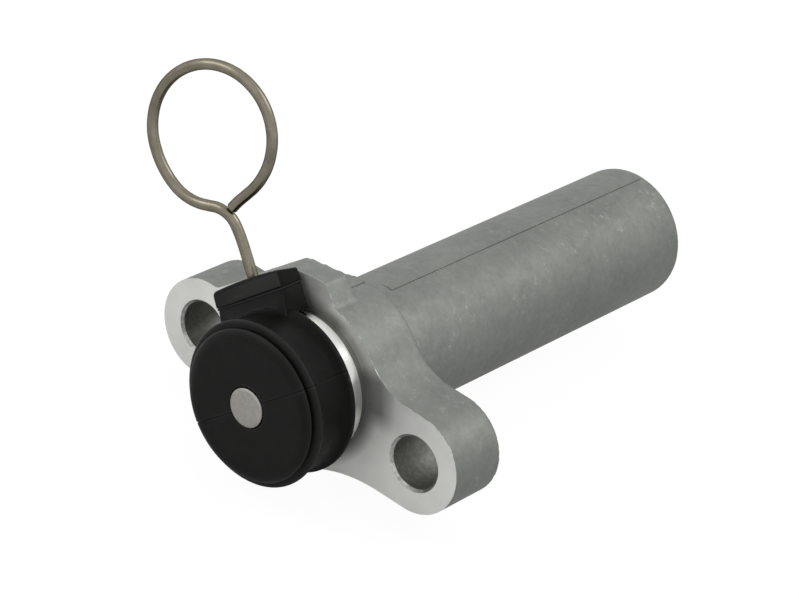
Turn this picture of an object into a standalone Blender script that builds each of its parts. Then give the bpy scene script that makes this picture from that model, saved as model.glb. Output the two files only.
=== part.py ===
"""Hydraulic timing belt tensioner, locked by its pin, with everything it holds inside.

The die-cast housing carries two bolt ears, a turned nose and a long closed barrel.
The rod comes out of the nose through a rubber boot. Inside the barrel a plunger with
a check valve slides in a steel sleeve, pushed forward by the plunger spring. A bent
wire pin goes through the boot and the nose into the rod and holds it pushed in.

Everything is modelled along its own axis: local Z points forward along the rod, from
the machined face of the flange, and local Y points up. The empty tensioner_axis turns
that frame, so that the rod points along world -Y and the top of the flange to world +Z.
The empty pin_axis turns it once more about the rod, to the slant of the locking pin.
"""

import math

import bmesh
import bpy
from mathutils import Matrix, Vector

MM = 0.001

# Gaps between pieces that touch or slide on the real object.
SEAT_GAP = 0.3 * MM
SLIDE_GAP = 0.3 * MM

# The rod's travel from locked to fully out.
STROKE = 8.4 * MM

# Housing: barrel, its bore and its parting ridge.
BORE_RADIUS = 9.0 * MM
BARREL_WALL = 2.9 * MM
BARREL_LENGTH = 87.1 * MM
BARREL_EDGE = 1.0 * MM
BARREL_ROOT = 0.8 * MM
END_WALL = 5.0 * MM
RIDGE_HEIGHT = 0.2 * MM
RIDGE_WIDTH = 0.5 * MM
RIDGE_START = 4.0 * MM
RIDGE_END_GAP = 2.0 * MM

# Housing: flange with two ears, round in the middle.
FLANGE_THICKNESS = 11.3 * MM
HOLE_SPACING = 46.2 * MM
HOLE_DROP = 3.1 * MM
HOLE_RADIUS = 4.5 * MM
HOLE_CHAMFER = 0.35 * MM
EAR_WALL = 4.1 * MM
CROWN_WALL = 2.0 * MM
CROWN_FILLET = 12.0 * MM
KEEL_WALL = 3.6 * MM
KEEL_FILLET = 18.0 * MM
CAST_EDGE = 0.6 * MM
RIM_ANGLE = math.radians(60.0)

# Housing: the boss under the pin, a thinner lobe in front of the flange.
BOSS_DEPTH = 4.2 * MM
BOSS_WALL = 6.3 * MM
BOSS_SIDE = 10.8 * MM
BOSS_CUT_WALL = 6.1 * MM
BOSS_CORNER = 2.5 * MM

# Housing: nose, from its bright shoulder ring to the seat of the boot.
SEAL_BORE_STEP = 0.4 * MM
SEAL_BORE_DEPTH = 8.5 * MM
NOSE_WALL = 1.9 * MM
NOSE_LENGTH = 10.0 * MM
NOSE_CHAMFER = 0.5 * MM
SHOULDER_STEP = 1.05 * MM
SHOULDER_LENGTH = 4.65 * MM
UNDERCUT_WIDTH = 1.4 * MM
UNDERCUT_DEPTH = 0.5 * MM
BOOT_GROOVE_DEPTH = 0.7 * MM
BOOT_GROOVE_WIDTH = 1.6 * MM
BOOT_GROOVE_PLACE = 7.0 * MM

# Push rod.
ROD_RADIUS = 3.4 * MM
ROD_STAND_OUT = 0.26 * MM
ROD_EDGE = 0.4 * MM
ROD_TAIL_LENGTH = 2.2 * MM
ROD_HOLE_CLEARANCE = 0.5 * MM
BOOT_NECK_DEPTH = 0.5 * MM
BOOT_NECK_LENGTH = 1.0 * MM

# Rubber boot, each height of its folds over the nose it sits on.
BOOT_FRONT = 15.2 * MM
BOOT_FACE_WALL = 1.5 * MM
BOOT_MOUTH_GAP = 0.37 * MM
BOOT_BODY_HEIGHT = 1.75 * MM
BOOT_DISC_HEIGHT = 1.6 * MM
BOOT_DISC_EDGE = 0.7 * MM
BOOT_FOLD_EDGE = 0.275 * MM
BOOT_FOLD_HEIGHT = 1.05 * MM
BOOT_FOLD_PLACE = 1.3 * MM
BOOT_BEAD_HEIGHT = 2.56 * MM
BOOT_BEAD_PLACE = 2.0 * MM
BOOT_POCKET_HEIGHT = 0.9 * MM
BOOT_LIP_HEIGHT = 2.8 * MM
BOOT_LIP_THICKNESS = 1.0 * MM
STUB_WIDTH = 15.4 * MM
STUB_HEIGHT = 5.95 * MM
STUB_FRONT = 5.6 * MM
STUB_BACK = 1.2 * MM
STUB_CAP_HEIGHT = 2.7 * MM
STUB_CAP_OVERHANG = 0.35 * MM
STUB_EDGE = 1.3 * MM
STUB_ROOM_STEP = 0.05 * MM

# Locking pin, bent from wire. The ring's centre lies this far over the top of the boot's block.
PIN_SLANT = math.radians(42.0)
PIN_PLACE = 3.1 * MM
WIRE_RADIUS = 0.85 * MM
PIN_HOLE_CLEARANCE = 0.3 * MM
PIN_TIP = 0.3 * MM
RING_RADIUS = 11.13 * MM
RING_CENTRE_SIDE = 2.54 * MM
RING_CENTRE_RISE = 24.04 * MM
RING_TURN = math.radians(12.7)

# Where the shank bends into the ring and where the ring's free end stands off it:
# the angle round the ring in degrees, and how far the wire lies outside the ring's circle.
RING_FOOT = ((-102, 1.8), (-110, 1.0), (-118, 0.7), (-127, 0.65), (-136, 0.55), (-145, 0.4), (-155, 0.15))
RING_SWEEP = range(-165, -416, -10)
RING_TAIL = ((-68, 0.05), (-80, 0.15), (-91, 0.6), (-95.2, 1.0))

# The shank's slight bows below the ring: how far under its circle, to the side and forward.
SHANK_BOWS = ((11.7, 0.0, 0.0), (6.6, 0.25, 0.0), (3.3, 0.75, 0.2), (2.5, 0.85, 0.3), (1.9, 0.6, 0.4))

# Seal stack in the mouth of the bore, from the front.
SNAP_RING_PLACE = 0.6 * MM
SNAP_RING_THICKNESS = 1.2 * MM
SNAP_RING_WIDTH = 1.6 * MM
SNAP_GROOVE_DEPTH = 0.5 * MM
SNAP_RING_OPENING = math.radians(40.0)
WASHER_THICKNESS = 1.0 * MM
SEAL_WALL = 0.8 * MM
SEAL_FLANGE_RADIUS = 5.8 * MM
SEAL_LIP_HEIGHT = 1.1 * MM

# Wear ring on the rod and the two clips that hold it.
WEAR_RING_LENGTH = 5.0 * MM
WEAR_RING_SLOT = 1.6 * MM
ROD_CLIP_RADIUS = 4.7 * MM
ROD_CLIP_THICKNESS = 1.0 * MM
ROD_CLIP_GROOVE_DEPTH = 0.5 * MM
ROD_CLIP_OPENING = math.radians(60.0)

# Steel sleeve, the pressure chamber, with its clip and seal.
SLEEVE_WALL = 2.4 * MM
SLEEVE_ROOM = 7.0 * MM
SLEEVE_CLIP_WIRE = 0.6 * MM
SLEEVE_CLIP_GROOVE = 0.4 * MM
SLEEVE_CLIP_OPENING = math.radians(50.0)
O_RING_WIRE = 0.65 * MM
O_RING_PLACE = 6.0 * MM

# Plunger and check valve.
PLUNGER_LENGTH = 22.0 * MM
PLUNGER_PASSAGE = 1.6 * MM
PLUNGER_SLOT = 1.6 * MM
PLUNGER_SLOT_DEPTH = 1.0 * MM
PLUNGER_POCKET_RADIUS = 4.6 * MM
PLUNGER_POCKET_DEPTH = 3.2 * MM
SEAT_THICKNESS = 2.4 * MM
SEAT_HOLE_RADIUS = 1.3 * MM
BALL_RADIUS = 2.0 * MM
CAGE_RADIUS = 3.3 * MM
CAGE_DEPTH = 7.5 * MM
CAGE_WALL = 0.5 * MM
CAGE_FLANGE = 5.6 * MM
CAGE_HOLE_RADIUS = 1.0 * MM
CAGE_WINDOW_WIDTH = 2.3 * MM
CAGE_WINDOW_LENGTH = 3.0 * MM
BALL_SPRING_RADIUS = 1.3 * MM
BALL_SPRING_WIRE = 0.2 * MM
BALL_SPRING_TURNS = 4
BALL_LIFT = 0.5 * MM

# Plunger spring and the washer it stands on.
SPRING_RADIUS = 4.75 * MM
SPRING_WIRE = 0.6 * MM
SPRING_TURNS = 9
SPRING_SEAT_THICKNESS = 0.8 * MM

# How far a closed end turn of a coil runs on, in radii of its wire.
CLOSED_PITCH = 2.2

# Points closer than this are one.
WELD = 0.000001

# Facets around a turned piece, and steps in one turn of a coil.
FINE = 48
MEDIUM = 32
COARSE = 20
COIL_STEPS = 12

# Faces that meet at a larger angle than this keep a sharp edge.
SHARP_ANGLE = math.radians(35.0)

BARREL_RADIUS = BORE_RADIUS + BARREL_WALL
SEAL_BORE_RADIUS = BORE_RADIUS + SEAL_BORE_STEP
NOSE_RADIUS = SEAL_BORE_RADIUS + NOSE_WALL
SHOULDER_RADIUS = NOSE_RADIUS + SHOULDER_STEP
CROWN_RADIUS = BARREL_RADIUS + CROWN_WALL
KEEL_RADIUS = BARREL_RADIUS + KEEL_WALL
BOSS_REACH = BARREL_RADIUS + BOSS_WALL
BOSS_CUT = BARREL_RADIUS + BOSS_CUT_WALL
EAR_RADIUS = HOLE_RADIUS + EAR_WALL
HALF_SPACING = HOLE_SPACING / 2
EAR_TOP = EAR_RADIUS - HOLE_DROP
EAR_BOTTOM = -EAR_RADIUS - HOLE_DROP
BORE_END = BARREL_LENGTH - END_WALL
PIN_HOLE_RADIUS = WIRE_RADIUS + PIN_HOLE_CLEARANCE
BOOT_NECK_RADIUS = ROD_RADIUS - BOOT_NECK_DEPTH
STUB_TOP = SHOULDER_RADIUS + STUB_HEIGHT
RING_CENTRE_HEIGHT = STUB_TOP + RING_CENTRE_RISE

# Stations along the axis, measured forward from the flange's face, so those inside are negative.
SNAP_BACK = SNAP_RING_PLACE - SNAP_RING_THICKNESS
WASHER_FRONT = SNAP_BACK - SEAT_GAP
WASHER_BACK = WASHER_FRONT - WASHER_THICKNESS
SEAL_FRONT = WASHER_BACK - SEAT_GAP
SEAL_BACK = -SEAL_BORE_DEPTH + SEAT_GAP
FRONT_CLIP_FRONT = -SEAL_BORE_DEPTH - STROKE - SEAT_GAP
FRONT_CLIP_BACK = FRONT_CLIP_FRONT - ROD_CLIP_THICKNESS
WEAR_FRONT = FRONT_CLIP_BACK - SEAT_GAP
WEAR_BACK = WEAR_FRONT - WEAR_RING_LENGTH
REAR_CLIP_FRONT = WEAR_BACK - SEAT_GAP
REAR_CLIP_BACK = REAR_CLIP_FRONT - ROD_CLIP_THICKNESS
ROD_FRONT = BOOT_FRONT + ROD_STAND_OUT
ROD_BACK = REAR_CLIP_BACK - ROD_TAIL_LENGTH
PLUNGER_FRONT = ROD_BACK - SEAT_GAP
PLUNGER_BACK = PLUNGER_FRONT - PLUNGER_LENGTH
SLEEVE_BACK = -BORE_END + SEAT_GAP
SLEEVE_FRONT = REAR_CLIP_BACK - SLEEVE_ROOM
SLEEVE_OUTER = BORE_RADIUS - SEAT_GAP
SLEEVE_INNER = SLEEVE_OUTER - SLEEVE_WALL
PLUNGER_RADIUS = SLEEVE_INNER - SLIDE_GAP
SPRING_SEAT_FRONT = SLEEVE_BACK + SPRING_SEAT_THICKNESS
SEAT_FRONT = PLUNGER_BACK + PLUNGER_POCKET_DEPTH - SEAT_GAP
SEAT_BACK = SEAT_FRONT - SEAT_THICKNESS
CAGE_FRONT = PLUNGER_BACK - SEAT_GAP
CAGE_BACK = CAGE_FRONT - CAGE_DEPTH

# The ball rests on the rim of the seat's hole, a seat gap behind it.
BALL_PLACE = SEAT_BACK - math.sqrt((BALL_RADIUS + SEAT_GAP) ** 2 - SEAT_HOLE_RADIUS ** 2)


def clear_scene():
    for old in list(bpy.data.objects):
        bpy.data.objects.remove(old, do_unlink=True)


def new_collection(name):
    collection = bpy.data.collections.new(name)
    bpy.context.scene.collection.children.link(collection)
    return collection


def material(name, colour, roughness, metallic=0.0):
    made = bpy.data.materials.new(name)
    made.use_nodes = True
    shader = made.node_tree.nodes["Principled BSDF"]
    shader.inputs["Base Color"].default_value = (*colour, 1.0)
    shader.inputs["Roughness"].default_value = roughness
    shader.inputs["Metallic"].default_value = metallic
    return made


def empty(name, parent=None, turn=(0.0, 0.0, 0.0), place=(0.0, 0.0, 0.0)):
    made = bpy.data.objects.new(name, None)
    made.empty_display_size = 10 * MM
    parts.objects.link(made)
    made.parent = parent
    made.rotation_euler = turn
    made.location = place
    return made


def add_object(name, data, parent, finish=None, cutter=False):
    """Put mesh or curve data into the scene as a part, or as a hidden cutter."""
    made = bpy.data.objects.new(name, data)
    (cutters if cutter else parts).objects.link(made)
    made.parent = parent
    if cutter:
        made.hide_render = True
        made.display_type = "WIRE"
    if finish:
        data.materials.append(finish)
    return made


def turned(name, profile, parent, finish=None, facets=FINE, closed=True, cutter=False):
    """Turn a profile of (radius, station) points, which runs down its outer side."""
    mesh = bpy.data.meshes.new(name)
    points = [(radius, 0.0, station) for radius, station in profile]
    edges = [(i, i + 1) for i in range(len(points) - 1)]
    if closed:
        edges.append((len(points) - 1, 0))
    mesh.from_pydata(points, edges, [])
    made = add_object(name, mesh, parent, finish, cutter)
    screw = made.modifiers.new("Turn", "SCREW")
    screw.steps = facets
    screw.render_steps = facets
    screw.use_merge_vertices = True
    screw.merge_threshold = WELD
    screw.use_smooth_shade = False
    return made


def ring(name, inner, outer, back, front, parent, finish=None, facets=FINE, cutter=False):
    profile = [(outer, front), (outer, back), (inner, back), (inner, front)]
    return turned(name, profile, parent, finish, facets, True, cutter)


def disc(name, radius, back, front, parent, finish=None, facets=FINE, cutter=False):
    profile = [(0.0, front), (radius, front), (radius, back), (0.0, back)]
    return turned(name, profile, parent, finish, facets, False, cutter)


def arc(centre_x, centre_y, radius, start, end, steps):
    """Points on an arc, with its angles in degrees."""
    points = []
    for i in range(steps + 1):
        angle = math.radians(start + (end - start) * i / steps)
        points.append((centre_x + radius * math.cos(angle), centre_y + radius * math.sin(angle)))
    return points


def rounded(corner, before, after, radius, steps=6):
    """Points that round one corner of an outline between its two neighbours."""
    corner, before, after = Vector(corner), Vector(before), Vector(after)
    to_before = (before - corner).normalized()
    to_after = (after - corner).normalized()
    half = to_before.angle(to_after) / 2
    reach = radius / math.tan(half)
    centre = corner + (to_before + to_after).normalized() * radius / math.sin(half)
    start = corner + to_before * reach - centre
    end = corner + to_after * reach - centre
    turn = start.angle_signed(end)
    points = []
    for i in range(steps + 1):
        spoke = start.copy()
        spoke.rotate(Matrix.Rotation(-turn * i / steps, 2))
        points.append(tuple(centre + spoke))
    return points


def outline(corners):
    """An outline from corners given as (x, y, rounding radius)."""
    points = []
    for i, (x, y, radius) in enumerate(corners):
        before = corners[i - 1][:2]
        after = corners[(i + 1) % len(corners)][:2]
        if radius:
            points += rounded((x, y), before, after, radius)
        else:
            points.append((x, y))
    return points


def prism(name, points, back, front, parent, finish=None, cutter=False):
    """Draw a flat outline, fill it and extrude it from one station to another."""
    shape = bmesh.new()
    corners = [shape.verts.new((x, y, back)) for x, y in points]
    base = shape.faces.new(corners)
    pushed = bmesh.ops.extrude_face_region(shape, geom=[base])["geom"]
    lid = [vertex for vertex in pushed if isinstance(vertex, bmesh.types.BMVert)]
    bmesh.ops.translate(shape, verts=lid, vec=(0.0, 0.0, front - back))
    bmesh.ops.remove_doubles(shape, verts=shape.verts, dist=WELD)
    bmesh.ops.recalc_face_normals(shape, faces=shape.faces)
    mesh = bpy.data.meshes.new(name)
    shape.to_mesh(mesh)
    shape.free()
    return add_object(name, mesh, parent, finish, cutter)


def as_mesh(curve_object, name, parent, finish=None):
    """Turn a curve object into a welded mesh object of the same name."""
    bpy.context.view_layer.update()
    evaluated = curve_object.evaluated_get(bpy.context.evaluated_depsgraph_get())
    mesh = bpy.data.meshes.new_from_object(evaluated)
    mesh.transform(curve_object.matrix_world)
    bpy.data.objects.remove(curve_object, do_unlink=True)
    shape = bmesh.new()
    shape.from_mesh(mesh)
    bmesh.ops.remove_doubles(shape, verts=shape.verts, dist=WELD)
    bmesh.ops.recalc_face_normals(shape, faces=shape.faces)
    shape.to_mesh(mesh)
    shape.free()
    mesh.materials.clear()
    return add_object(name, mesh, parent, finish)


def wire_curve(name, points, radius, cyclic=False):
    """A bevelled poly curve along 3-D points."""
    curve = bpy.data.curves.new(name, "CURVE")
    curve.dimensions = "3D"
    curve.bevel_depth = radius
    curve.bevel_resolution = 2
    curve.use_fill_caps = not cyclic
    spline = curve.splines.new("POLY")
    spline.points.add(len(points) - 1)
    for point, place in zip(spline.points, points):
        point.co = (*place, 1.0)
    spline.use_cyclic_u = cyclic
    return add_object(name, curve, None)


def join_or_cut(target, tool, operation):
    step = target.modifiers.new(operation.title() + " " + tool.name, "BOOLEAN")
    step.operation = operation
    step.object = tool
    step.solver = "EXACT"


def cut(target, *tools):
    for tool in tools:
        join_or_cut(target, tool, "DIFFERENCE")


def join(target, *tools):
    for tool in tools:
        join_or_cut(target, tool, "UNION")


def bevel_edges(made, chosen, width, segments=2):
    """Round the edges of a mesh for which chosen(edge) is true."""
    shape = bmesh.new()
    shape.from_mesh(made.data)
    edges = [edge for edge in shape.edges if chosen(edge)]
    bmesh.ops.bevel(shape, geom=edges, offset=width, segments=segments, profile=0.5, affect="EDGES")
    shape.to_mesh(made.data)
    shape.free()


def box(name, size, centre, parent, finish=None, cutter=False):
    mesh = bpy.data.meshes.new(name)
    shape = bmesh.new()
    place = Matrix.Translation(centre) @ Matrix.Diagonal((*size, 1.0))
    bmesh.ops.create_cube(shape, size=1.0, matrix=place)
    shape.to_mesh(mesh)
    shape.free()
    return add_object(name, mesh, parent, finish, cutter)


def cross_drill(name, radius, bottom, top, facets=COARSE):
    """A round cutter along the pin, through the axis at the pin's station."""
    mesh = bpy.data.meshes.new(name)
    shape = bmesh.new()
    place = (
        Matrix.Translation((0.0, (bottom + top) / 2, PIN_PLACE))
        @ Matrix.Rotation(math.pi / 2, 4, "X")
    )
    bmesh.ops.create_cone(
        shape, cap_ends=True, segments=facets, radius1=radius, radius2=radius, depth=top - bottom,
        matrix=place,
    )
    shape.to_mesh(mesh)
    shape.free()
    return add_object(name, mesh, pin_axis, None, True)


def wedge(name, opening, radius, back, front, parent):
    """A cutter that opens a ring at its top by an angle."""
    half = opening / 2
    points = [(0.0, 0.0)]
    points += [(radius * math.sin(turn), radius * math.cos(turn)) for turn in (half, 0.0, -half)]
    return prism(name, points, back, front, parent, None, True)


def blend_arc(side, line_height, circle_radius, fillet, steps):
    """The concave arc between a level line and the central circle of the flange."""
    below = line_height < 0
    centre_height = line_height - fillet if below else line_height + fillet
    centre_x = math.sqrt((circle_radius + fillet) ** 2 - centre_height ** 2)
    towards_axis = math.degrees(math.atan2(-centre_height, -centre_x)) % 360
    onto_line = 90.0 if below else 270.0
    points = arc(centre_x, centre_height, fillet, onto_line, towards_axis, steps)
    if side < 0:
        points = [(-x, y) for x, y in points]
    return points


def flange_outline():
    """The flange seen from the front: two ears, blended into a round middle."""
    crown_right = blend_arc(1, EAR_TOP, CROWN_RADIUS, CROWN_FILLET, 6)
    crown_left = blend_arc(-1, EAR_TOP, CROWN_RADIUS, CROWN_FILLET, 6)
    keel_right = blend_arc(1, EAR_BOTTOM, KEEL_RADIUS, KEEL_FILLET, 5)
    keel_left = blend_arc(-1, EAR_BOTTOM, KEEL_RADIUS, KEEL_FILLET, 5)
    crown_angle = math.degrees(math.atan2(crown_right[-1][1], crown_right[-1][0]))
    keel_angle = math.degrees(math.atan2(keel_right[-1][1], keel_right[-1][0]))
    crown = arc(0.0, 0.0, CROWN_RADIUS, crown_angle, 180 - crown_angle, 16)
    keel = arc(0.0, 0.0, KEEL_RADIUS, -180 - keel_angle, keel_angle, 16)
    right_ear = arc(HALF_SPACING, -HOLE_DROP, EAR_RADIUS, -90, 90, 16)
    left_ear = arc(-HALF_SPACING, -HOLE_DROP, EAR_RADIUS, 90, 270, 16)
    points = right_ear + crown_right + crown[1:-1] + crown_left[::-1]
    points += left_ear + keel_left + keel[1:-1] + keel_right[::-1]
    return points


def along_slant(side, up):
    """A point of the front view from its places across and along the pin."""
    return (
        side * math.cos(PIN_SLANT) - up * math.sin(PIN_SLANT),
        side * math.sin(PIN_SLANT) + up * math.cos(PIN_SLANT),
    )


def boss_outline():
    """The lobe under the pin: square to the pin, with its upper corner cut level."""
    slope = math.tan(PIN_SLANT)
    foot_x = (EAR_TOP - BOSS_REACH / math.cos(PIN_SLANT)) / slope
    left_cut_x = (BOSS_CUT - BOSS_REACH / math.cos(PIN_SLANT)) / slope
    right_cut_x = BOSS_SIDE / math.cos(PIN_SLANT) - BOSS_CUT * slope
    side_foot = along_slant(BOSS_SIDE, 0.0)
    return outline([
        (foot_x, EAR_TOP - CAST_EDGE, 0.0),
        (foot_x, EAR_TOP, 0.0),
        (left_cut_x, BOSS_CUT, BOSS_CORNER),
        (right_cut_x, BOSS_CUT, CAST_EDGE),
        (*side_foot, 0.0),
        (0.0, EAR_TOP - CAST_EDGE, 0.0),
    ][::-1])


def build_housing():
    """Flange, barrel and nose as one casting, with its bores and drilled holes."""
    nose_root = SHOULDER_RADIUS - UNDERCUT_DEPTH
    groove_front = BOOT_GROOVE_PLACE + BOOT_GROOVE_WIDTH / 2
    groove_back = BOOT_GROOVE_PLACE - BOOT_GROOVE_WIDTH / 2
    groove_radius = NOSE_RADIUS - BOOT_GROOVE_DEPTH
    flange_back = -FLANGE_THICKNESS
    profile = [
        (0.0, NOSE_LENGTH),
        (NOSE_RADIUS - NOSE_CHAMFER, NOSE_LENGTH),
        (NOSE_RADIUS, NOSE_LENGTH - NOSE_CHAMFER),
        (NOSE_RADIUS, groove_front),
        (groove_radius, groove_front),
        (groove_radius, groove_back),
        (NOSE_RADIUS, groove_back),
        (NOSE_RADIUS, SHOULDER_LENGTH),
        (SHOULDER_RADIUS, SHOULDER_LENGTH),
        (SHOULDER_RADIUS, UNDERCUT_WIDTH),
        (nose_root, UNDERCUT_WIDTH - UNDERCUT_DEPTH),
        (nose_root, flange_back + BARREL_ROOT),
        (BARREL_RADIUS + BARREL_ROOT, flange_back + BARREL_ROOT),
    ]
    profile += arc(
        BARREL_RADIUS + BARREL_ROOT, flange_back - BARREL_ROOT, BARREL_ROOT, 80, 180, 3
    )
    profile += arc(
        BARREL_RADIUS - BARREL_EDGE, -BARREL_LENGTH + BARREL_EDGE, BARREL_EDGE, 0, -90, 4
    )
    profile.append((0.0, -BARREL_LENGTH))
    housing = turned("housing", profile, axis, cast_metal, FINE, closed=False)

    flange = prism("flange_body", flange_outline(), flange_back, 0.0, axis, None, True)

    def on_cast_rim(edge):
        return all(vertex.co.z < flange_back + CAST_EDGE / 10 for vertex in edge.verts) and (
            len(edge.link_faces) == 2 and edge.calc_face_angle() > RIM_ANGLE
        )

    bevel_edges(flange, on_cast_rim, CAST_EDGE)
    for side in (-1, 1):
        name = "right" if side > 0 else "left"
        centre = empty(name + "_bolt_axis", axis, place=(side * HALF_SPACING, -HOLE_DROP, 0.0))
        wide = HOLE_RADIUS + HOLE_CHAMFER + SEAT_GAP
        bolt_profile = [
            (0.0, SEAT_GAP),
            (wide, SEAT_GAP),
            (HOLE_RADIUS, -HOLE_CHAMFER),
            (HOLE_RADIUS, flange_back - SEAT_GAP),
            (0.0, flange_back - SEAT_GAP),
        ]
        cut(flange, turned(name + "_bolt_cutter", bolt_profile, centre, None, MEDIUM, False, True))
    boss = prism("boss_lobe", boss_outline(), -BOSS_DEPTH, 0.0, axis, None, True)
    ridge_length = BARREL_LENGTH - FLANGE_THICKNESS - RIDGE_START - RIDGE_END_GAP
    ridge_centre = -FLANGE_THICKNESS - RIDGE_START - ridge_length / 2
    ridge = box(
        "parting_ridge",
        (RIDGE_WIDTH, 2 * RIDGE_HEIGHT + BARREL_EDGE, ridge_length),
        (0.0, BARREL_RADIUS - BARREL_EDGE / 2, ridge_centre),
        axis, None, True,
    )
    join(housing, flange, boss, ridge)

    snap_front = SNAP_RING_PLACE + SEAT_GAP
    snap_back = SNAP_BACK - SEAT_GAP
    snap_radius = SEAL_BORE_RADIUS + SNAP_GROOVE_DEPTH
    clip_radius = BORE_RADIUS + SLEEVE_CLIP_GROOVE
    clip_place = SLEEVE_FRONT + SEAT_GAP + SLEEVE_CLIP_WIRE
    clip_half = SLEEVE_CLIP_WIRE + SEAT_GAP / 2
    bore_profile = [
        (0.0, NOSE_LENGTH + SEAT_GAP),
        (SEAL_BORE_RADIUS, NOSE_LENGTH + SEAT_GAP),
        (SEAL_BORE_RADIUS, snap_front),
        (snap_radius, snap_front),
        (snap_radius, snap_back),
        (SEAL_BORE_RADIUS, snap_back),
        (SEAL_BORE_RADIUS, -SEAL_BORE_DEPTH),
        (BORE_RADIUS, -SEAL_BORE_DEPTH),
        (BORE_RADIUS, clip_place + clip_half),
        (clip_radius, clip_place + clip_half),
        (clip_radius, clip_place - clip_half),
        (BORE_RADIUS, clip_place - clip_half),
        (BORE_RADIUS, -BORE_END),
        (0.0, -BORE_END),
    ]
    bore = turned("bore_cutter", bore_profile, axis, None, FINE, False, True)
    cut(housing, bore)
    cut(housing, cross_drill("nose_pin_drill", PIN_HOLE_RADIUS, ROD_RADIUS, SHOULDER_RADIUS + SEAT_GAP))
    return housing


def build_boot():
    """Rubber boot: a turned cup with a folded front, and the block the pin goes through."""
    mouth = ROD_RADIUS + BOOT_MOUTH_GAP
    bead = BOOT_NECK_RADIUS + SEAT_GAP
    back = SHOULDER_LENGTH + SEAT_GAP
    lip_front = back + BOOT_LIP_THICKNESS
    inner = NOSE_RADIUS + SEAT_GAP
    key = NOSE_RADIUS - BOOT_GROOVE_DEPTH + SEAT_GAP
    key_front = BOOT_GROOVE_PLACE + BOOT_GROOVE_WIDTH / 2 - SEAT_GAP
    key_back = BOOT_GROOVE_PLACE - BOOT_GROOVE_WIDTH / 2 + SEAT_GAP
    face_back = BOOT_FRONT - BOOT_FACE_WALL
    body = NOSE_RADIUS + BOOT_BODY_HEIGHT
    disc_radius = NOSE_RADIUS + BOOT_DISC_HEIGHT
    fold = NOSE_RADIUS + BOOT_FOLD_HEIGHT
    fold_place = BOOT_FRONT - BOOT_FOLD_PLACE
    bead_radius = NOSE_RADIUS + BOOT_BEAD_HEIGHT
    bead_place = BOOT_FRONT - BOOT_BEAD_PLACE
    pocket = NOSE_RADIUS + BOOT_POCKET_HEIGHT
    lip = NOSE_RADIUS + BOOT_LIP_HEIGHT
    neck_front = face_back + BOOT_NECK_LENGTH - 2 * SEAT_GAP
    soft = BOOT_FOLD_EDGE
    profile = [(mouth, BOOT_FRONT)]
    profile += arc(disc_radius - BOOT_DISC_EDGE, BOOT_FRONT - BOOT_DISC_EDGE, BOOT_DISC_EDGE, 90, 0, 3)
    profile += [
        (disc_radius, fold_place + soft),
        (fold, fold_place),
        (bead_radius - 2 * soft, bead_place + 2 * soft),
        (bead_radius, bead_place + soft),
        (bead_radius, bead_place - soft),
        (bead_radius - soft, bead_place - 2 * soft),
        (body + soft, bead_place - 5 * soft),
        (body, lip_front + 6 * soft),
        (body, lip_front + 4 * soft),
        (body + soft, lip_front + 2 * soft),
        (lip - soft, lip_front),
        (lip, lip_front - soft),
        (lip, back),
        (inner, back),
        (inner, key_back - SEAT_GAP),
        (key, key_back),
        (key, key_front),
        (inner, key_front + SEAT_GAP),
        (inner, bead_place - 7 * soft),
        (pocket, bead_place - 4 * soft),
        (pocket, bead_place - soft),
        (key, face_back),
        (bead, face_back),
        (bead, neck_front),
        (mouth, neck_front),
    ]
    boot = turned("boot", profile, axis, rubber, FINE)

    cap_bottom = STUB_TOP - STUB_CAP_HEIGHT
    half_width = STUB_WIDTH / 2
    inset = STUB_CAP_OVERHANG / 2
    low = NOSE_RADIUS - SEAT_GAP
    high = cap_bottom + SEAT_GAP
    block_outline = [
        (inset - half_width, low), (half_width - inset, low),
        (half_width - inset, high), (inset - half_width, high),
    ]
    block = prism(
        "stub_block", block_outline, STUB_BACK + STUB_CAP_OVERHANG, STUB_FRONT - inset, pin_axis, None, True
    )
    cap_outline = outline([
        (-half_width, cap_bottom, 0.0), (half_width, cap_bottom, 0.0),
        (half_width, STUB_TOP, STUB_EDGE), (-half_width, STUB_TOP, STUB_EDGE),
    ])
    cap = prism("stub_cap", cap_outline, STUB_BACK, STUB_FRONT, pin_axis, None, True)
    ring_room = disc(
        "ring_room_cutter", SHOULDER_RADIUS + SEAT_GAP, 0.0, back + STUB_ROOM_STEP, axis, None, FINE, True
    )
    cup_room = disc(
        "cup_room_cutter", inner + STUB_ROOM_STEP, 0.0, STUB_FRONT + SEAT_GAP / 2, axis, None, FINE, True
    )
    join(boot, block, cap)
    cut(boot, ring_room, cup_room, cross_drill("stub_pin_drill", PIN_HOLE_RADIUS, NOSE_RADIUS, STUB_TOP + MM))
    return boot


def pin_path():
    """The wire's centre line in the pin's frame, from its tip up and round the ring."""
    def on_ring(degrees, stand_off=0.0):
        angle = math.radians(degrees)
        radius = RING_RADIUS + stand_off * MM
        across = radius * math.cos(angle)
        side = RING_CENTRE_SIDE + across * math.cos(RING_TURN)
        up = RING_CENTRE_HEIGHT + radius * math.sin(angle)
        forward = PIN_PLACE - across * math.sin(RING_TURN)
        return (side, up, forward)

    foot_height = RING_CENTRE_HEIGHT - RING_RADIUS
    shank = [(0.0, PIN_TIP, PIN_PLACE)]
    shank += [
        (side * MM, foot_height - under * MM, PIN_PLACE + forward * MM)
        for under, side, forward in SHANK_BOWS
    ]
    rise = [on_ring(angle, stand_off) for angle, stand_off in RING_FOOT]
    sweep = [on_ring(angle) for angle in RING_SWEEP]
    tail = [on_ring(angle, stand_off) for angle, stand_off in RING_TAIL]
    return shank + rise + sweep + tail


def build_pin():
    return as_mesh(wire_curve("lock_pin", pin_path(), WIRE_RADIUS), "lock_pin", pin_axis, pin_steel)


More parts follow.
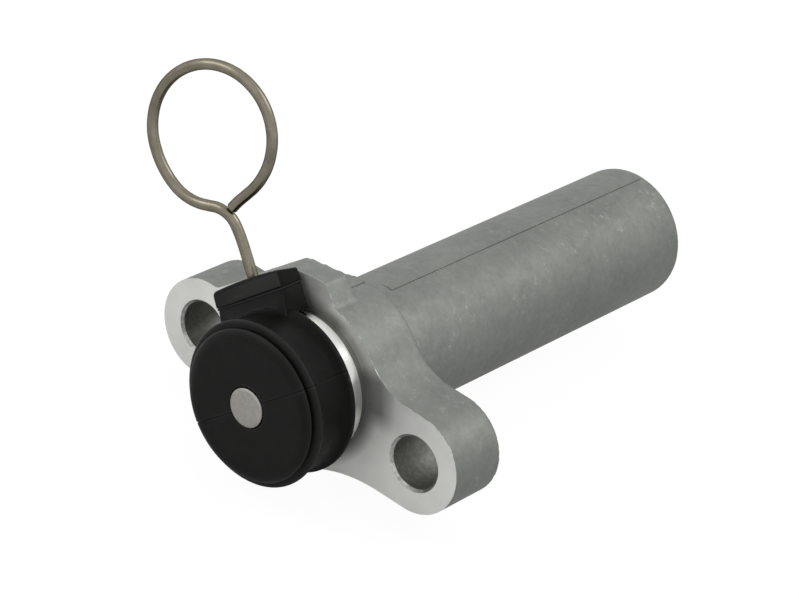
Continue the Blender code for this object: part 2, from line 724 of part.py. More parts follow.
def build_rod():
    """Push rod with its rounded tip, the boot's neck and the grooves of the two clips."""
    neck_back = BOOT_FRONT - BOOT_FACE_WALL - SEAT_GAP
    neck_front = neck_back + BOOT_NECK_LENGTH
    clip_groove = ROD_RADIUS - ROD_CLIP_GROOVE_DEPTH
    slack = SEAT_GAP / 2
    profile = [(0.0, ROD_FRONT)]
    profile += arc(ROD_RADIUS - ROD_EDGE, ROD_FRONT - ROD_EDGE, ROD_EDGE, 90, 0, 3)
    profile += [
        (ROD_RADIUS, neck_front),
        (BOOT_NECK_RADIUS, neck_front),
        (BOOT_NECK_RADIUS, neck_back),
        (ROD_RADIUS, neck_back),
    ]
    for front, back in ((FRONT_CLIP_FRONT, FRONT_CLIP_BACK), (REAR_CLIP_FRONT, REAR_CLIP_BACK)):
        profile += [
            (ROD_RADIUS, front + slack),
            (clip_groove, front + slack),
            (clip_groove, back - slack),
            (ROD_RADIUS, back - slack),
        ]
    profile += arc(ROD_RADIUS - 2 * ROD_EDGE, ROD_BACK + 2 * ROD_EDGE, 2 * ROD_EDGE, 0, -90, 3)
    profile.append((0.0, ROD_BACK))
    rod = turned("push_rod", profile, axis, rod_steel, MEDIUM, closed=False)
    reach = ROD_RADIUS + SEAT_GAP
    cut(rod, cross_drill("rod_pin_drill", WIRE_RADIUS + ROD_HOLE_CLEARANCE, -reach, reach))
    return rod


def open_ring(name, inner, outer, back, front, opening, finish, facets=MEDIUM):
    """A flat snap ring, open at its top."""
    made = ring(name, inner, outer, back, front, axis, finish, facets)
    cut(made, wedge(name + "_opening", opening, 2 * outer, back - SEAT_GAP, front + SEAT_GAP, axis))
    return made


def build_seals():
    """Snap ring, washer, steel case and rubber lips, in the mouth of the bore."""
    snap_outer = SEAL_BORE_RADIUS + SNAP_GROOVE_DEPTH - SEAT_GAP
    open_ring(
        "snap_ring", snap_outer - SNAP_RING_WIDTH, snap_outer, SNAP_BACK, SNAP_RING_PLACE,
        SNAP_RING_OPENING, spring_steel,
    )
    fit = SEAL_BORE_RADIUS - SEAT_GAP
    shaft = ROD_RADIUS + SLIDE_GAP
    ring("seal_washer", shaft + SEAT_GAP, fit, WASHER_BACK, WASHER_FRONT, axis, bright_steel, MEDIUM)
    wall = fit - SEAL_WALL
    flange_back = SEAL_FRONT - SEAL_WALL
    turned("seal_case", [
        (fit, SEAL_FRONT),
        (fit, SEAL_BACK),
        (wall, SEAL_BACK),
        (wall, flange_back),
        (SEAL_FLANGE_RADIUS, flange_back),
        (SEAL_FLANGE_RADIUS, SEAL_FRONT),
    ], axis, bright_steel, MEDIUM)
    lip_outer = wall - SEAT_GAP
    rubber_front = flange_back - SEAT_GAP
    root = shaft + SEAL_LIP_HEIGHT
    middle = (rubber_front + SEAL_BACK) / 2
    turned("oil_seal", [
        (lip_outer, rubber_front),
        (lip_outer, SEAL_BACK),
        (lip_outer - SEAL_WALL, SEAL_BACK),
        (lip_outer - SEAL_WALL, middle),
        (root + SEAL_WALL, middle),
        (root + SEAL_WALL, SEAL_BACK + SEAL_WALL),
        (root, SEAL_BACK),
        (shaft, SEAL_BACK + SEAL_WALL),
        (root - SEAL_WALL / 2, middle),
        (root - SEAL_WALL / 2, rubber_front - SEAL_WALL),
        (shaft, rubber_front),
    ], axis, rubber, MEDIUM)


def build_wear_ring():
    """The plastic ring that guides the rod in the bore, with slots for the oil."""
    outer = BORE_RADIUS - SLIDE_GAP
    made = ring(
        "wear_ring", ROD_RADIUS + SEAT_GAP, outer, WEAR_BACK, WEAR_FRONT, axis, plastic, MEDIUM
    )
    for turn in range(4):
        turning = empty("wear_slot_turn_%d" % turn, axis, (0.0, 0.0, math.pi / 2 * turn))
        slot = box(
            "wear_slot_%d" % turn,
            (WEAR_RING_SLOT, WEAR_RING_SLOT * 2, WEAR_RING_LENGTH + 2 * SEAT_GAP),
            (0.0, outer, (WEAR_FRONT + WEAR_BACK) / 2),
            turning, None, True,
        )
        cut(made, slot)
    clip_inner = ROD_RADIUS - ROD_CLIP_GROOVE_DEPTH + SEAT_GAP / 2
    for name, back, front in (
        ("front_rod_clip", FRONT_CLIP_BACK, FRONT_CLIP_FRONT),
        ("rear_rod_clip", REAR_CLIP_BACK, REAR_CLIP_FRONT),
    ):
        open_ring(name, clip_inner, ROD_CLIP_RADIUS, back, front, ROD_CLIP_OPENING, spring_steel, COARSE)


def build_sleeve():
    """The pressed-in steel sleeve, with the clip in front of it and its rubber ring."""
    place = SLEEVE_BACK + O_RING_PLACE
    groove = SLEEVE_OUTER - 2 * O_RING_WIRE
    half = O_RING_WIRE + SEAT_GAP
    turned("sleeve", [
        (SLEEVE_OUTER - SEAT_GAP, SLEEVE_FRONT),
        (SLEEVE_OUTER, SLEEVE_FRONT - SEAT_GAP),
        (SLEEVE_OUTER, place + half),
        (groove, place + half),
        (groove, place - half),
        (SLEEVE_OUTER, place - half),
        (SLEEVE_OUTER, SLEEVE_BACK),
        (SLEEVE_INNER, SLEEVE_BACK),
        (SLEEVE_INNER, SLEEVE_FRONT),
    ], axis, bright_steel, MEDIUM)
    centre = groove + SEAT_GAP + O_RING_WIRE
    section = [(centre + x, place + y) for x, y in arc(0.0, 0.0, O_RING_WIRE, 90, -225, 7)]
    turned("sleeve_o_ring", section, axis, rubber, MEDIUM)
    clip_centre = BORE_RADIUS + SLEEVE_CLIP_GROOVE - SEAT_GAP / 2 - SLEEVE_CLIP_WIRE
    clip_place = SLEEVE_FRONT + SEAT_GAP + SLEEVE_CLIP_WIRE
    half_open = SLEEVE_CLIP_OPENING / 2
    points = []
    for i in range(MEDIUM + 1):
        turn = math.pi / 2 + half_open + (2 * math.pi - SLEEVE_CLIP_OPENING) * i / MEDIUM
        points.append((clip_centre * math.cos(turn), clip_centre * math.sin(turn), clip_place))
    as_mesh(wire_curve("sleeve_clip", points, SLEEVE_CLIP_WIRE), "sleeve_clip", axis, spring_steel)


def build_plunger():
    """Plunger with its oil passage, and the check valve at its rear end."""
    pocket_front = PLUNGER_BACK + PLUNGER_POCKET_DEPTH
    rim = 2 * SEAT_GAP
    plunger = turned("plunger", [
        (PLUNGER_RADIUS - rim, PLUNGER_FRONT),
        (PLUNGER_RADIUS, PLUNGER_FRONT - rim),
        (PLUNGER_RADIUS, PLUNGER_BACK),
        (PLUNGER_POCKET_RADIUS, PLUNGER_BACK),
        (PLUNGER_POCKET_RADIUS, pocket_front),
        (PLUNGER_PASSAGE, pocket_front),
        (PLUNGER_PASSAGE, PLUNGER_FRONT),
    ], axis, rod_steel, MEDIUM)
    slot = box(
        "plunger_slot_cutter",
        (3 * PLUNGER_RADIUS, PLUNGER_SLOT, 2 * PLUNGER_SLOT_DEPTH),
        (0.0, 0.0, PLUNGER_FRONT),
        axis, None, True,
    )
    cut(plunger, slot)

    cone = SEAT_THICKNESS / 4
    turned("valve_seat", [
        (PLUNGER_POCKET_RADIUS - SEAT_GAP, SEAT_FRONT),
        (PLUNGER_POCKET_RADIUS - SEAT_GAP, SEAT_BACK),
        (SEAT_HOLE_RADIUS, SEAT_BACK),
        (SEAT_HOLE_RADIUS, SEAT_FRONT - cone),
        (SEAT_HOLE_RADIUS + cone, SEAT_FRONT),
    ], axis, bright_steel, MEDIUM)

    ball_mesh = bpy.data.meshes.new("check_ball")
    shape = bmesh.new()
    bmesh.ops.create_uvsphere(shape, u_segments=COARSE, v_segments=COARSE // 2, radius=BALL_RADIUS)
    shape.to_mesh(ball_mesh)
    shape.free()
    ball = add_object("check_ball", ball_mesh, axis, rod_steel)
    ball.location = (0.0, 0.0, BALL_PLACE)

    inside = CAGE_RADIUS - CAGE_WALL
    cage = turned("ball_cage", [
        (CAGE_FLANGE, CAGE_FRONT),
        (CAGE_FLANGE, CAGE_FRONT - CAGE_WALL),
        (CAGE_RADIUS, CAGE_FRONT - CAGE_WALL),
        (CAGE_RADIUS, CAGE_BACK),
        (CAGE_HOLE_RADIUS, CAGE_BACK),
        (CAGE_HOLE_RADIUS, CAGE_BACK + CAGE_WALL),
        (inside, CAGE_BACK + CAGE_WALL),
        (inside, CAGE_FRONT),
    ], axis, bright_steel, COARSE)
    window = (CAGE_FRONT + CAGE_BACK) / 2
    for turn in range(2):
        turning = empty("cage_window_turn_%d" % turn, axis, (0.0, 0.0, math.pi / 2 * turn))
        cut(cage, box(
            "cage_window_%d" % turn,
            (3 * CAGE_RADIUS, CAGE_WINDOW_WIDTH, CAGE_WINDOW_LENGTH),
            (0.0, 0.0, window),
            turning, None, True,
        ))


def coil(name, radius, wire, front, back, turns, finish):
    """A compression spring between two stations, with its end turns closed up."""
    length = front - back - 2 * wire
    closed = CLOSED_PITCH * wire
    free = length - 2 * closed
    points = []
    steps = turns * COIL_STEPS
    for i in range(steps + 1):
        turn = i / COIL_STEPS
        if turn < 1:
            drop = closed * turn
        elif turn > turns - 1:
            drop = length - closed * (turns - turn)
        else:
            drop = closed + free * (turn - 1) / (turns - 2)
        angle = 2 * math.pi * turn
        points.append((radius * math.cos(angle), radius * math.sin(angle), front - wire - drop))
    return as_mesh(wire_curve(name, points, wire), name, axis, finish)


def build_springs():
    """The plunger spring on its washer, and the light spring behind the check ball."""
    disc(
        "spring_seat", SLEEVE_INNER - SEAT_GAP, SLEEVE_BACK, SPRING_SEAT_FRONT, axis, bright_steel,
        MEDIUM,
    )
    coil(
        "plunger_spring", SPRING_RADIUS, SPRING_WIRE, CAGE_FRONT - CAGE_WALL - SEAT_GAP,
        SPRING_SEAT_FRONT + SEAT_GAP, SPRING_TURNS, spring_steel,
    )
    coil(
        "ball_spring", BALL_SPRING_RADIUS, BALL_SPRING_WIRE, BALL_PLACE - BALL_RADIUS - SEAT_GAP / 2,
        CAGE_BACK + CAGE_WALL + SEAT_GAP, BALL_SPRING_TURNS, spring_steel,
    )


def shade_round():
    for made in parts.objects:
        if made.type == "MESH":
            made.data.shade_smooth()
            made.data.set_sharp_from_angle(angle=SHARP_ANGLE)


clear_scene()
parts = new_collection("timing_belt_tensioner")
cutters = new_collection("cutters")

cast_metal = material("cast_aluminium", (0.32, 0.33, 0.32), 0.5, 0.9)
rubber = material("black_rubber", (0.015, 0.015, 0.015), 0.6)
rod_steel = material("ground_steel", (0.62, 0.61, 0.59), 0.25, 1.0)
bright_steel = material("pressed_steel", (0.5, 0.5, 0.5), 0.35, 1.0)
spring_steel = material("spring_steel", (0.2, 0.2, 0.21), 0.4, 1.0)
pin_steel = material("pin_wire", (0.3, 0.28, 0.24), 0.4, 1.0)
plastic = material("guide_plastic", (0.5, 0.45, 0.35), 0.5)

axis = empty("tensioner_axis", turn=(math.pi / 2, 0.0, 0.0))
pin_axis = empty("pin_axis", axis, turn=(0.0, 0.0, PIN_SLANT))

build_housing()
build_boot()
build_pin()
build_rod()
build_seals()
build_wear_ring()
build_sleeve()
build_plunger()
build_springs()
shade_round()
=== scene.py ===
# %% [markdown]
# # A hydraulic belt tensioner, dressed for its photograph
# The tensioner is a die-cast aluminium body with two ears, a long closed barrel and a turned nose.
# A steel rod comes out of the nose through a rubber boot, and a bent wire pin with a finger ring
# locks it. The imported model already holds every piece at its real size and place. This lesson
# gives them their looks: a cast skin, machined faces, moulded rubber, drawn wire and ground steel.
# The four pieces that show are modelled again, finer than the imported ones, and replace them.

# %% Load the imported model
import math

import bpy
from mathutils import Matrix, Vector


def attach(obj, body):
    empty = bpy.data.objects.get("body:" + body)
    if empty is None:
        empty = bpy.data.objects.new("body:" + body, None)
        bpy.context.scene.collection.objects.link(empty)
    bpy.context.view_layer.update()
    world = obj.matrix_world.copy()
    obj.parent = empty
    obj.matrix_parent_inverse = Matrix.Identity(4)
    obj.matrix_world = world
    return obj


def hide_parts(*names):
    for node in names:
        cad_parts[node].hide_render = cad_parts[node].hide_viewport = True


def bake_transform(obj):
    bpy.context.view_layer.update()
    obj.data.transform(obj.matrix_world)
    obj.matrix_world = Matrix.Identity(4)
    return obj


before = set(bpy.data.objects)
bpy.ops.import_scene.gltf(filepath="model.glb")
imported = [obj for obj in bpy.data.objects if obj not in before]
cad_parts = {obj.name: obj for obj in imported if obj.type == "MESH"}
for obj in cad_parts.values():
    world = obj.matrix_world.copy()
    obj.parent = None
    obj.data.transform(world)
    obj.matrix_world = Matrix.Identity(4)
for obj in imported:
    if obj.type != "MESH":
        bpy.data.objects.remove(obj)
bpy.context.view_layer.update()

# %% [markdown]
# All sizes below are in metres, like the model, and are written in millimetres times MM.
# The origin lies on the barrel's axis, in the machined front face of the flange. The rod points
# along -Y, so a height in front of that face is a distance along -Y. The pin and the block that
# it goes through stand 42 degrees to the side of straight up.

# %% Sizes that several steps share
MM = 0.001
BARREL_RADIUS = 11.9 * MM
BARREL_LENGTH = 87.1 * MM
FLANGE_THICKNESS = 11.3 * MM
WIRE_RADIUS = 0.93 * MM
PIN_PLACE = 3.1 * MM
PIN_SLANT = math.radians(42)
HOLE_SIDE = 23.1 * MM
HOLE_DROP = 3.1 * MM
HOLE_RADIUS = 4.5 * MM
EAR_RADIUS = 8.6 * MM
WELD = 0.001 * MM
print("barrel", BARREL_LENGTH / MM, "mm long, bolt holes", 2 * HOLE_SIDE / MM, "mm apart")

# %% [markdown]
# The operators act on all that is selected, so every step first selects its own piece alone.
# Modifiers are applied one after another, so that the mesh is final before the next step.

# %% Select one object, and apply its modifiers
def only(piece):
    """Select this object alone and make it the active one."""
    bpy.ops.object.select_all(action="DESELECT")
    piece.select_set(True)
    bpy.context.view_layer.objects.active = piece
    return piece


def apply_all(piece):
    """Apply every modifier of a piece, in order."""
    only(piece)
    for modifier in list(piece.modifiers):
        bpy.ops.object.modifier_apply(modifier=modifier.name)
    return piece


# %% [markdown]
# A turned piece is drawn as half of its section and spun round the axis, as a lathe makes it.
# One vertex is extruded from point to point, and spin sweeps the line through a full turn. The
# points are pairs of radius and height in front of the flange, and run down the outer side.

# %% Turn a profile round the rod's axis
def arc(centre_x, centre_y, radius, start, end, steps):
    """Points on an arc between two angles in degrees."""
    angles = [math.radians(start + (end - start) * i / steps) for i in range(steps + 1)]
    return [(centre_x + radius * math.cos(a), centre_y + radius * math.sin(a)) for a in angles]


def draw_line(name, points):
    """Extrude one vertex through 3-D points and stay in edit mode."""
    bpy.ops.object.select_all(action="DESELECT")
    bpy.ops.mesh.primitive_plane_add(size=MM)
    piece = bpy.context.object
    piece.name = name
    bpy.ops.object.mode_set(mode="EDIT")
    bpy.ops.mesh.merge(type="CENTER")
    bpy.ops.transform.translate(value=points[0])
    for start, end in zip(points, points[1:]):
        step = [b - a for a, b in zip(start, end)]
        bpy.ops.mesh.extrude_region_move(TRANSFORM_OT_translate={"value": step})
    return piece


def spun(name, profile, facets, closed=False):
    """Spin a profile of (radius, height) points round the Y axis."""
    points = [(radius, -height, 0.0) for radius, height in profile]
    piece = draw_line(name, points + points[:1] if closed else points)
    bpy.ops.mesh.select_all(action="SELECT")
    bpy.ops.mesh.spin(steps=facets, angle=2 * math.pi, center=(0, 0, 0), axis=(0, 1, 0))
    bpy.ops.mesh.select_all(action="SELECT")
    bpy.ops.mesh.remove_doubles(threshold=WELD)
    bpy.ops.mesh.normals_make_consistent(inside=False)
    bpy.ops.object.mode_set(mode="OBJECT")
    return piece


# %% [markdown]
# A flat outline is drawn the same way, filled with one face and extruded along the axis.

# %% Cut a slab to an outline
def slab(name, outline, front, back):
    """Extrude an outline of (x, z) points between two heights in front of the flange."""
    points = [(x, -front, z) for x, z in outline]
    piece = draw_line(name, points)
    bpy.ops.mesh.select_all(action="SELECT")
    bpy.ops.mesh.edge_face_add()
    move = {"value": (0.0, front - back, 0.0)}
    bpy.ops.mesh.extrude_region_move(TRANSFORM_OT_translate=move)
    bpy.ops.mesh.select_all(action="SELECT")
    bpy.ops.mesh.remove_doubles(threshold=WELD)
    bpy.ops.mesh.normals_make_consistent(inside=False)
    bpy.ops.object.mode_set(mode="OBJECT")
    return piece


# %% [markdown]
# Finishes come before the pieces, so that each cutter can leave its own finish on what it cuts.
# Every pattern reads Object coordinates, which are metres on these pieces, and is given by the
# size of its spots in millimetres.

# %% Start a finish
def new_finish(name, colour, metallic, roughness):
    """A material with these plain values, and its nodes to hang patterns on."""
    made = bpy.data.materials.new(name)
    made.use_nodes = True
    shader = made.node_tree.nodes["Principled BSDF"]
    shader.inputs["Base Color"].default_value = (*colour, 1)
    shader.inputs["Metallic"].default_value = metallic
    shader.inputs["Roughness"].default_value = roughness
    return made


def node(finish, kind, **inputs):
    """Add a node and set its plain inputs, written with spaces as underscores."""
    made = finish.node_tree.nodes.new(kind)
    for key, value in inputs.items():
        made.inputs[key.replace("_", " ")].default_value = value
    return made


def link(finish, source, target):
    finish.node_tree.links.new(source, target)


def shader_of(finish):
    return finish.node_tree.nodes["Principled BSDF"]


def grey(value):
    return (value, value, value)


# %% [markdown]
# Three kinds of pattern are enough here: noise for spots and clouds, the place along an axis for
# what lies at one end of a piece, and Pointiness for painted highlights on edges and painted shade
# in creases. A colour ramp or a Map Range node turns each into the tones that are wanted.

# %% Patterns and places
def spots(finish, size, detail=3.0, rough=0.5, twist=0.0, place=(0, 0, 0)):
    """Noise with spots of this size in millimetres, twisted if asked."""
    where = node(finish, "ShaderNodeTexCoord")
    mapping = node(finish, "ShaderNodeMapping", Location=place)
    made = node(finish, "ShaderNodeTexNoise", Scale=1 / (size * MM), Detail=detail, Roughness=rough,
                Distortion=twist)
    link(finish, where.outputs["Object"], mapping.inputs["Vector"])
    link(finish, mapping.outputs["Vector"], made.inputs["Vector"])
    return made.outputs["Fac"]


def ramp(finish, source, stops):
    """Turn a grey pattern into colours at the given stops."""
    made = node(finish, "ShaderNodeValToRGB")
    elements = made.color_ramp.elements
    while len(elements) < len(stops):
        elements.new(0.5)
    for element, (position, colour) in zip(elements, stops):
        element.position = position
        element.color = (*colour, 1)
    link(finish, source, made.inputs["Fac"])
    return made.outputs["Color"]


def along(finish, axis):
    """The place along one axis, in millimetres."""
    where = node(finish, "ShaderNodeTexCoord")
    scaled = node(finish, "ShaderNodeMapping", Scale=(1 / MM, 1 / MM, 1 / MM))
    parts = node(finish, "ShaderNodeSeparateXYZ")
    link(finish, where.outputs["Object"], scaled.inputs["Vector"])
    link(finish, scaled.outputs["Vector"], parts.inputs["Vector"])
    return parts.outputs[axis]


def span(finish, source, low, high, first=0.0, last=1.0):
    """Map a value between two bounds to a value between two others, and hold it outside."""
    made = node(finish, "ShaderNodeMapRange")
    for key, value in (("From Min", low), ("From Max", high), ("To Min", first), ("To Max", last)):
        made.inputs[key].default_value = value
    link(finish, source, made.inputs["Value"])
    return made.outputs["Result"]


def edges(finish):
    """High on sharp outer edges, low in creases and 0.5 on flat ground."""
    return node(finish, "ShaderNodeNewGeometry").outputs["Pointiness"]


# %% [markdown]
# Patterns are combined in three ways: two masks are multiplied, two colours are mixed by a mask,
# and a Bump node lets a pattern tilt the surface. Bumps are chained through their Normal input.

# %% Combine patterns
def operate(tree, operation, first, second):
    """A Math node between two outputs, or between an output and a number."""
    made = tree.nodes.new("ShaderNodeMath")
    made.operation = operation
    tree.links.new(first, made.inputs[0])
    if isinstance(second, float):
        made.inputs[1].default_value = second
    else:
        tree.links.new(second, made.inputs[1])
    return made.outputs[0]


def product(finish, first, second):
    return operate(finish.node_tree, "MULTIPLY", first, second)


def mix(finish, blend, amount, first, second):
    """Mix two colours; the amount is a number or a pattern."""
    made = finish.node_tree.nodes.new("ShaderNodeMix")
    made.data_type = "RGBA"
    made.blend_type = blend
    if isinstance(amount, (int, float)):
        made.inputs["Factor"].default_value = amount
    else:
        link(finish, amount, made.inputs["Factor"])
    link(finish, first, made.inputs[6])
    if isinstance(second, tuple):
        made.inputs[7].default_value = (*second, 1)
    else:
        link(finish, second, made.inputs[7])
    return made.outputs[2]


def bump(finish, source, height, strength, before=None):
    """Raise the surface by a pattern, up to a height in millimetres."""
    made = node(finish, "ShaderNodeBump", Strength=strength, Distance=height * MM)
    link(finish, source, made.inputs["Height"])
    if before:
        link(finish, before, made.inputs["Normal"])
    return made.outputs["Normal"]


# %% [markdown]
# The cast skin is dull grey aluminium: cloudy on the scale of a centimetre, mottled on that of a
# millimetre, with pale flecks where it was knocked. The flecks are fine noise that only shows
# where larger patches let it. A broken bright rim at the front edge is a painted glint on the
# mill's burrs, the top of the flange is painted a little lighter as painted light, and the creases
# and the flange's rear edge are painted darker as painted shade. The grain is two layers of
# noise in the bump.

# %% Finish: cast aluminium
CLOUDS = [(0.3, (0.203, 0.21, 0.197)), (0.52, (0.222, 0.23, 0.216)), (0.72, (0.241, 0.248, 0.233))]
FLECK = (0.42, 0.42, 0.4)
# painted glint: the milled edge's burrs, lit as bright glints
BURR_GLINT = (0.65, 0.65, 0.62)
# painted light: the flange's top is lightened a little
PAINTED_TOP_LIGHT = (0.45, 0.45, 0.43)
# painted shade in creases
CREASE_SHADE = (0.07, 0.07, 0.065)
# painted shade along the flange's rear edge
REAR_SHADE_GREY = (0.06, 0.06, 0.055)


def painted_rear_shade(finish):
    """A thin painted shade line along the flange's rear edge, above the barrel."""
    back = span(finish, along(finish, "Y"), 10.95, 11.1, 0.0, 0.7)
    before = span(finish, along(finish, "Y"), 11.5, 11.6, 1.0, 0.0)
    upper = span(finish, along(finish, "Z"), -1.0, 1.0, 0.0, 1.0)
    return product(finish, product(finish, back, before), upper)


def scuffed_skin(cast):
    """Clouds and mottle, with flecks where the patches let them show."""
    mottle = ramp(cast, spots(cast, 1.2, 6.0, 0.75), [(0.3, grey(0.9)), (0.7, grey(1.1))])
    skin = mix(cast, "MULTIPLY", 1.0, ramp(cast, spots(cast, 9.0, 4.0, 0.55), CLOUDS), mottle)
    patches = ramp(cast, spots(cast, 7.0, 2.0, 0.5, place=(0.013, 0.0, 0.004)), [
        (0.46, grey(0.15)), (0.6, grey(1.0)),
    ])
    flecks = ramp(cast, spots(cast, 1.7, 8.0, 0.85), [(0.55, grey(0.0)), (0.65, grey(0.65))])
    return mix(cast, "MIX", product(cast, flecks, patches), skin, FLECK)


def make_cast():
    cast = new_finish("cast_skin", (0.23, 0.237, 0.224), 1.0, 0.5)
    shader = shader_of(cast)
    # A painted glint along the milled front edge, broken up by noise.
    rim = span(cast, along(cast, "Y"), 0.1, 0.2, 1.0, 0.0)
    broken = ramp(cast, spots(cast, 1.5, 4.0, 0.6), [(0.5, grey(0.0)), (0.64, grey(0.8))])
    bright = mix(cast, "MIX", product(cast, rim, broken), scuffed_skin(cast), BURR_GLINT)
    # Painted light: the top of the flange, in front of its rear edge, is lightened by up to a
    # tenth.
    upper = span(cast, along(cast, "Z"), 7.0, 11.0, 0.0, 0.1)
    top_light = product(cast, upper, span(cast, along(cast, "Y"), 9.0, 11.3, 1.0, 0.0))
    lit = mix(cast, "MIX", top_light, bright, PAINTED_TOP_LIGHT)
    # Painted shade in creases, fainter towards the flange.
    crease = ramp(cast, edges(cast), [(0.4, grey(0.5)), (0.465, grey(0.0))])
    fading = span(cast, along(cast, "Y"), 28.0, 42.0, 0.35, 1.0)
    crease_shaded = mix(cast, "MIX", product(cast, crease, fading), lit, CREASE_SHADE)
    # Painted shade along the flange's rear edge.
    tone = mix(cast, "MIX", painted_rear_shade(cast), crease_shaded, REAR_SHADE_GREY)
    link(cast, tone, shader.inputs["Base Color"])
    rough = ramp(cast, spots(cast, 2.0, 3.0), [(0.3, grey(0.46)), (0.7, grey(0.58))])
    link(cast, rough, shader.inputs["Roughness"])
    fine = bump(cast, spots(cast, 0.9, 3.0, 0.6), 0.02, 0.3)
    link(cast, bump(cast, spots(cast, 2.4, 2.0), 0.06, 0.4, fine), shader.inputs["Normal"])
    return cast


cast_skin = make_cast()
print("cast skin", len(cast_skin.node_tree.nodes), "nodes")

# %% [markdown]
# Steel, wire and plastic share one recipe: a tone and a gloss that drift between two values, in
# spots of a given size, over a very fine bump. Each finish then only needs its own numbers.

# %% A recipe for plain metal
def make_steel(name, dark, light, roughness, size, metallic=1.0):
    """Metal or plastic whose tone and gloss drift between two colours."""
    steel = new_finish(name, light, metallic, roughness)
    shader = shader_of(steel)
    tone = ramp(steel, spots(steel, size, 5.0, 0.6), [(0.32, dark), (0.68, light)])
    link(steel, tone, shader.inputs["Base Color"])
    rough = ramp(steel, spots(steel, 0.6 * size, 4.0), [
        (0.3, grey(0.85 * roughness)), (0.7, grey(1.15 * roughness)),
    ])
    link(steel, rough, shader.inputs["Roughness"])
    link(steel, bump(steel, spots(steel, 0.2, 3.0), 0.01, 0.4), shader.inputs["Normal"])
    return steel


# %% [markdown]
# The flange's front face is milled flat. Its tone carries painted reflections: a painted dark
# reflection of the boot close to it, and a painted highlight a few millimetres out that fades a
# little towards the ears, so its tone follows the distance from the barrel's axis: from one
# distance to another it goes from one tone to another. Two sectors differ: a painted highlight
# above the right ear, and a wedge below it where the painted dark reflection reaches further out.
# All of that is fixed to the piece, so it stays where it is in every view.

# %% Finish: milled face
# painted reflections and highlights on the milled face, by distance and angle from the axis
BOOT_REFLECTION_SPAN = (12.3, 14.9, 0.43, 1.15)
HIGHLIGHT_FALLOFF_SPAN = (18.0, 27.0, 1.0, 0.87)
WEDGE_REFLECTION_SPAN = (14.8, 18.0, 0.42, 1.0)
PAINTED_HIGHLIGHT_TONE = 0.95
HIGHLIGHT_SECTOR = (34, 70)
REFLECTION_WEDGE_SECTOR = (0, 33)
SECTOR_EDGE = math.radians(6)


def off_axis(finish):
    """The distance from the barrel's axis, in millimetres."""
    where = node(finish, "ShaderNodeTexCoord")
    flat = node(finish, "ShaderNodeMapping", Scale=(1 / MM, 0, 1 / MM))
    length = node(finish, "ShaderNodeVectorMath")
    length.operation = "LENGTH"
    link(finish, where.outputs["Object"], flat.inputs["Vector"])
    link(finish, flat.outputs["Vector"], length.inputs[0])
    return length.outputs["Value"]


def around(finish, low, high):
    """1 where the angle about the barrel's axis lies between two bounds, in degrees."""
    angle = operate(finish.node_tree, "ARCTAN2", along(finish, "Z"), along(finish, "X"))
    low, high = math.radians(low), math.radians(high)
    rise = span(finish, angle, low - SECTOR_EDGE, low + SECTOR_EDGE)
    fall = span(finish, angle, high - SECTOR_EDGE, high + SECTOR_EDGE, 1.0, 0.0)
    return product(finish, rise, fall)


def make_milled():
    milled = new_finish("milled_face", (0.72, 0.727, 0.7), 1.0, 0.5)
    shader = shader_of(milled)
    tone = ramp(milled, spots(milled, 6.0, 4.0), [
        (0.3, (0.75, 0.757, 0.728)), (0.7, (0.82, 0.827, 0.798)),
    ])
    # Painted reflections: the boot's dark reflection near the axis, and a painted highlight that
    # fades towards the ears.
    boot_reflection = span(milled, off_axis(milled), *BOOT_REFLECTION_SPAN)
    reflected_tone = product(milled, boot_reflection, span(milled, off_axis(milled), *HIGHLIGHT_FALLOFF_SPAN))
    # A brighter painted highlight in one sector, and a dark painted reflection in a wedge below it.
    clear = mix(milled, "MIX", around(milled, *HIGHLIGHT_SECTOR), reflected_tone, grey(PAINTED_HIGHLIGHT_TONE))
    wedge_reflection = span(milled, off_axis(milled), *WEDGE_REFLECTION_SPAN)
    painted_reflections = mix(milled, "MIX", around(milled, *REFLECTION_WEDGE_SECTOR), clear, wedge_reflection)
    link(milled, mix(milled, "MULTIPLY", 1.0, tone, painted_reflections), shader.inputs["Base Color"])
    rough = ramp(milled, spots(milled, 2.5, 3.0), [(0.3, grey(0.52)), (0.7, grey(0.58))])
    link(milled, rough, shader.inputs["Roughness"])
    link(milled, bump(milled, spots(milled, 3.0, 2.0), 0.004, 0.3), shader.inputs["Normal"])
    return milled


milled_face = make_milled()
print("milled face", len(milled_face.node_tree.nodes), "nodes")

# %% [markdown]
# The nose and its shoulder ring are turned, so they shine in thin bright lines that run round
# the axis. A wave pattern of rings, centred on the axis, gives those tool marks. The relief
# behind the ring is turned too, and its colour is painted dark, as painted shade, because little
# light gets in. The holes are drilled rough, and their chamfers are a paler cut.

# %% Finishes: turned nose, relief, holes and chamfers
def turning_marks(finish, width):
    """Rings round the Y axis, this many millimetres apart, slightly uneven."""
    where = node(finish, "ShaderNodeTexCoord")
    rings = node(finish, "ShaderNodeTexWave", Scale=0.05 / (width * MM), Distortion=1.5, Detail=1.0)
    rings.wave_type = "RINGS"
    rings.rings_direction = "Y"
    link(finish, where.outputs["Object"], rings.inputs["Vector"])
    return rings.outputs["Fac"]


def make_turned(name, colour, roughness, step):
    turned = new_finish(name, colour, 1.0, roughness)
    shader = shader_of(turned)
    tone = ramp(turned, turning_marks(turned, step), [
        (0.2, tuple(0.8 * c for c in colour)), (0.8, colour),
    ])
    link(turned, tone, shader.inputs["Base Color"])
    link(turned, bump(turned, turning_marks(turned, step), 0.01, 0.5), shader.inputs["Normal"])
    return turned


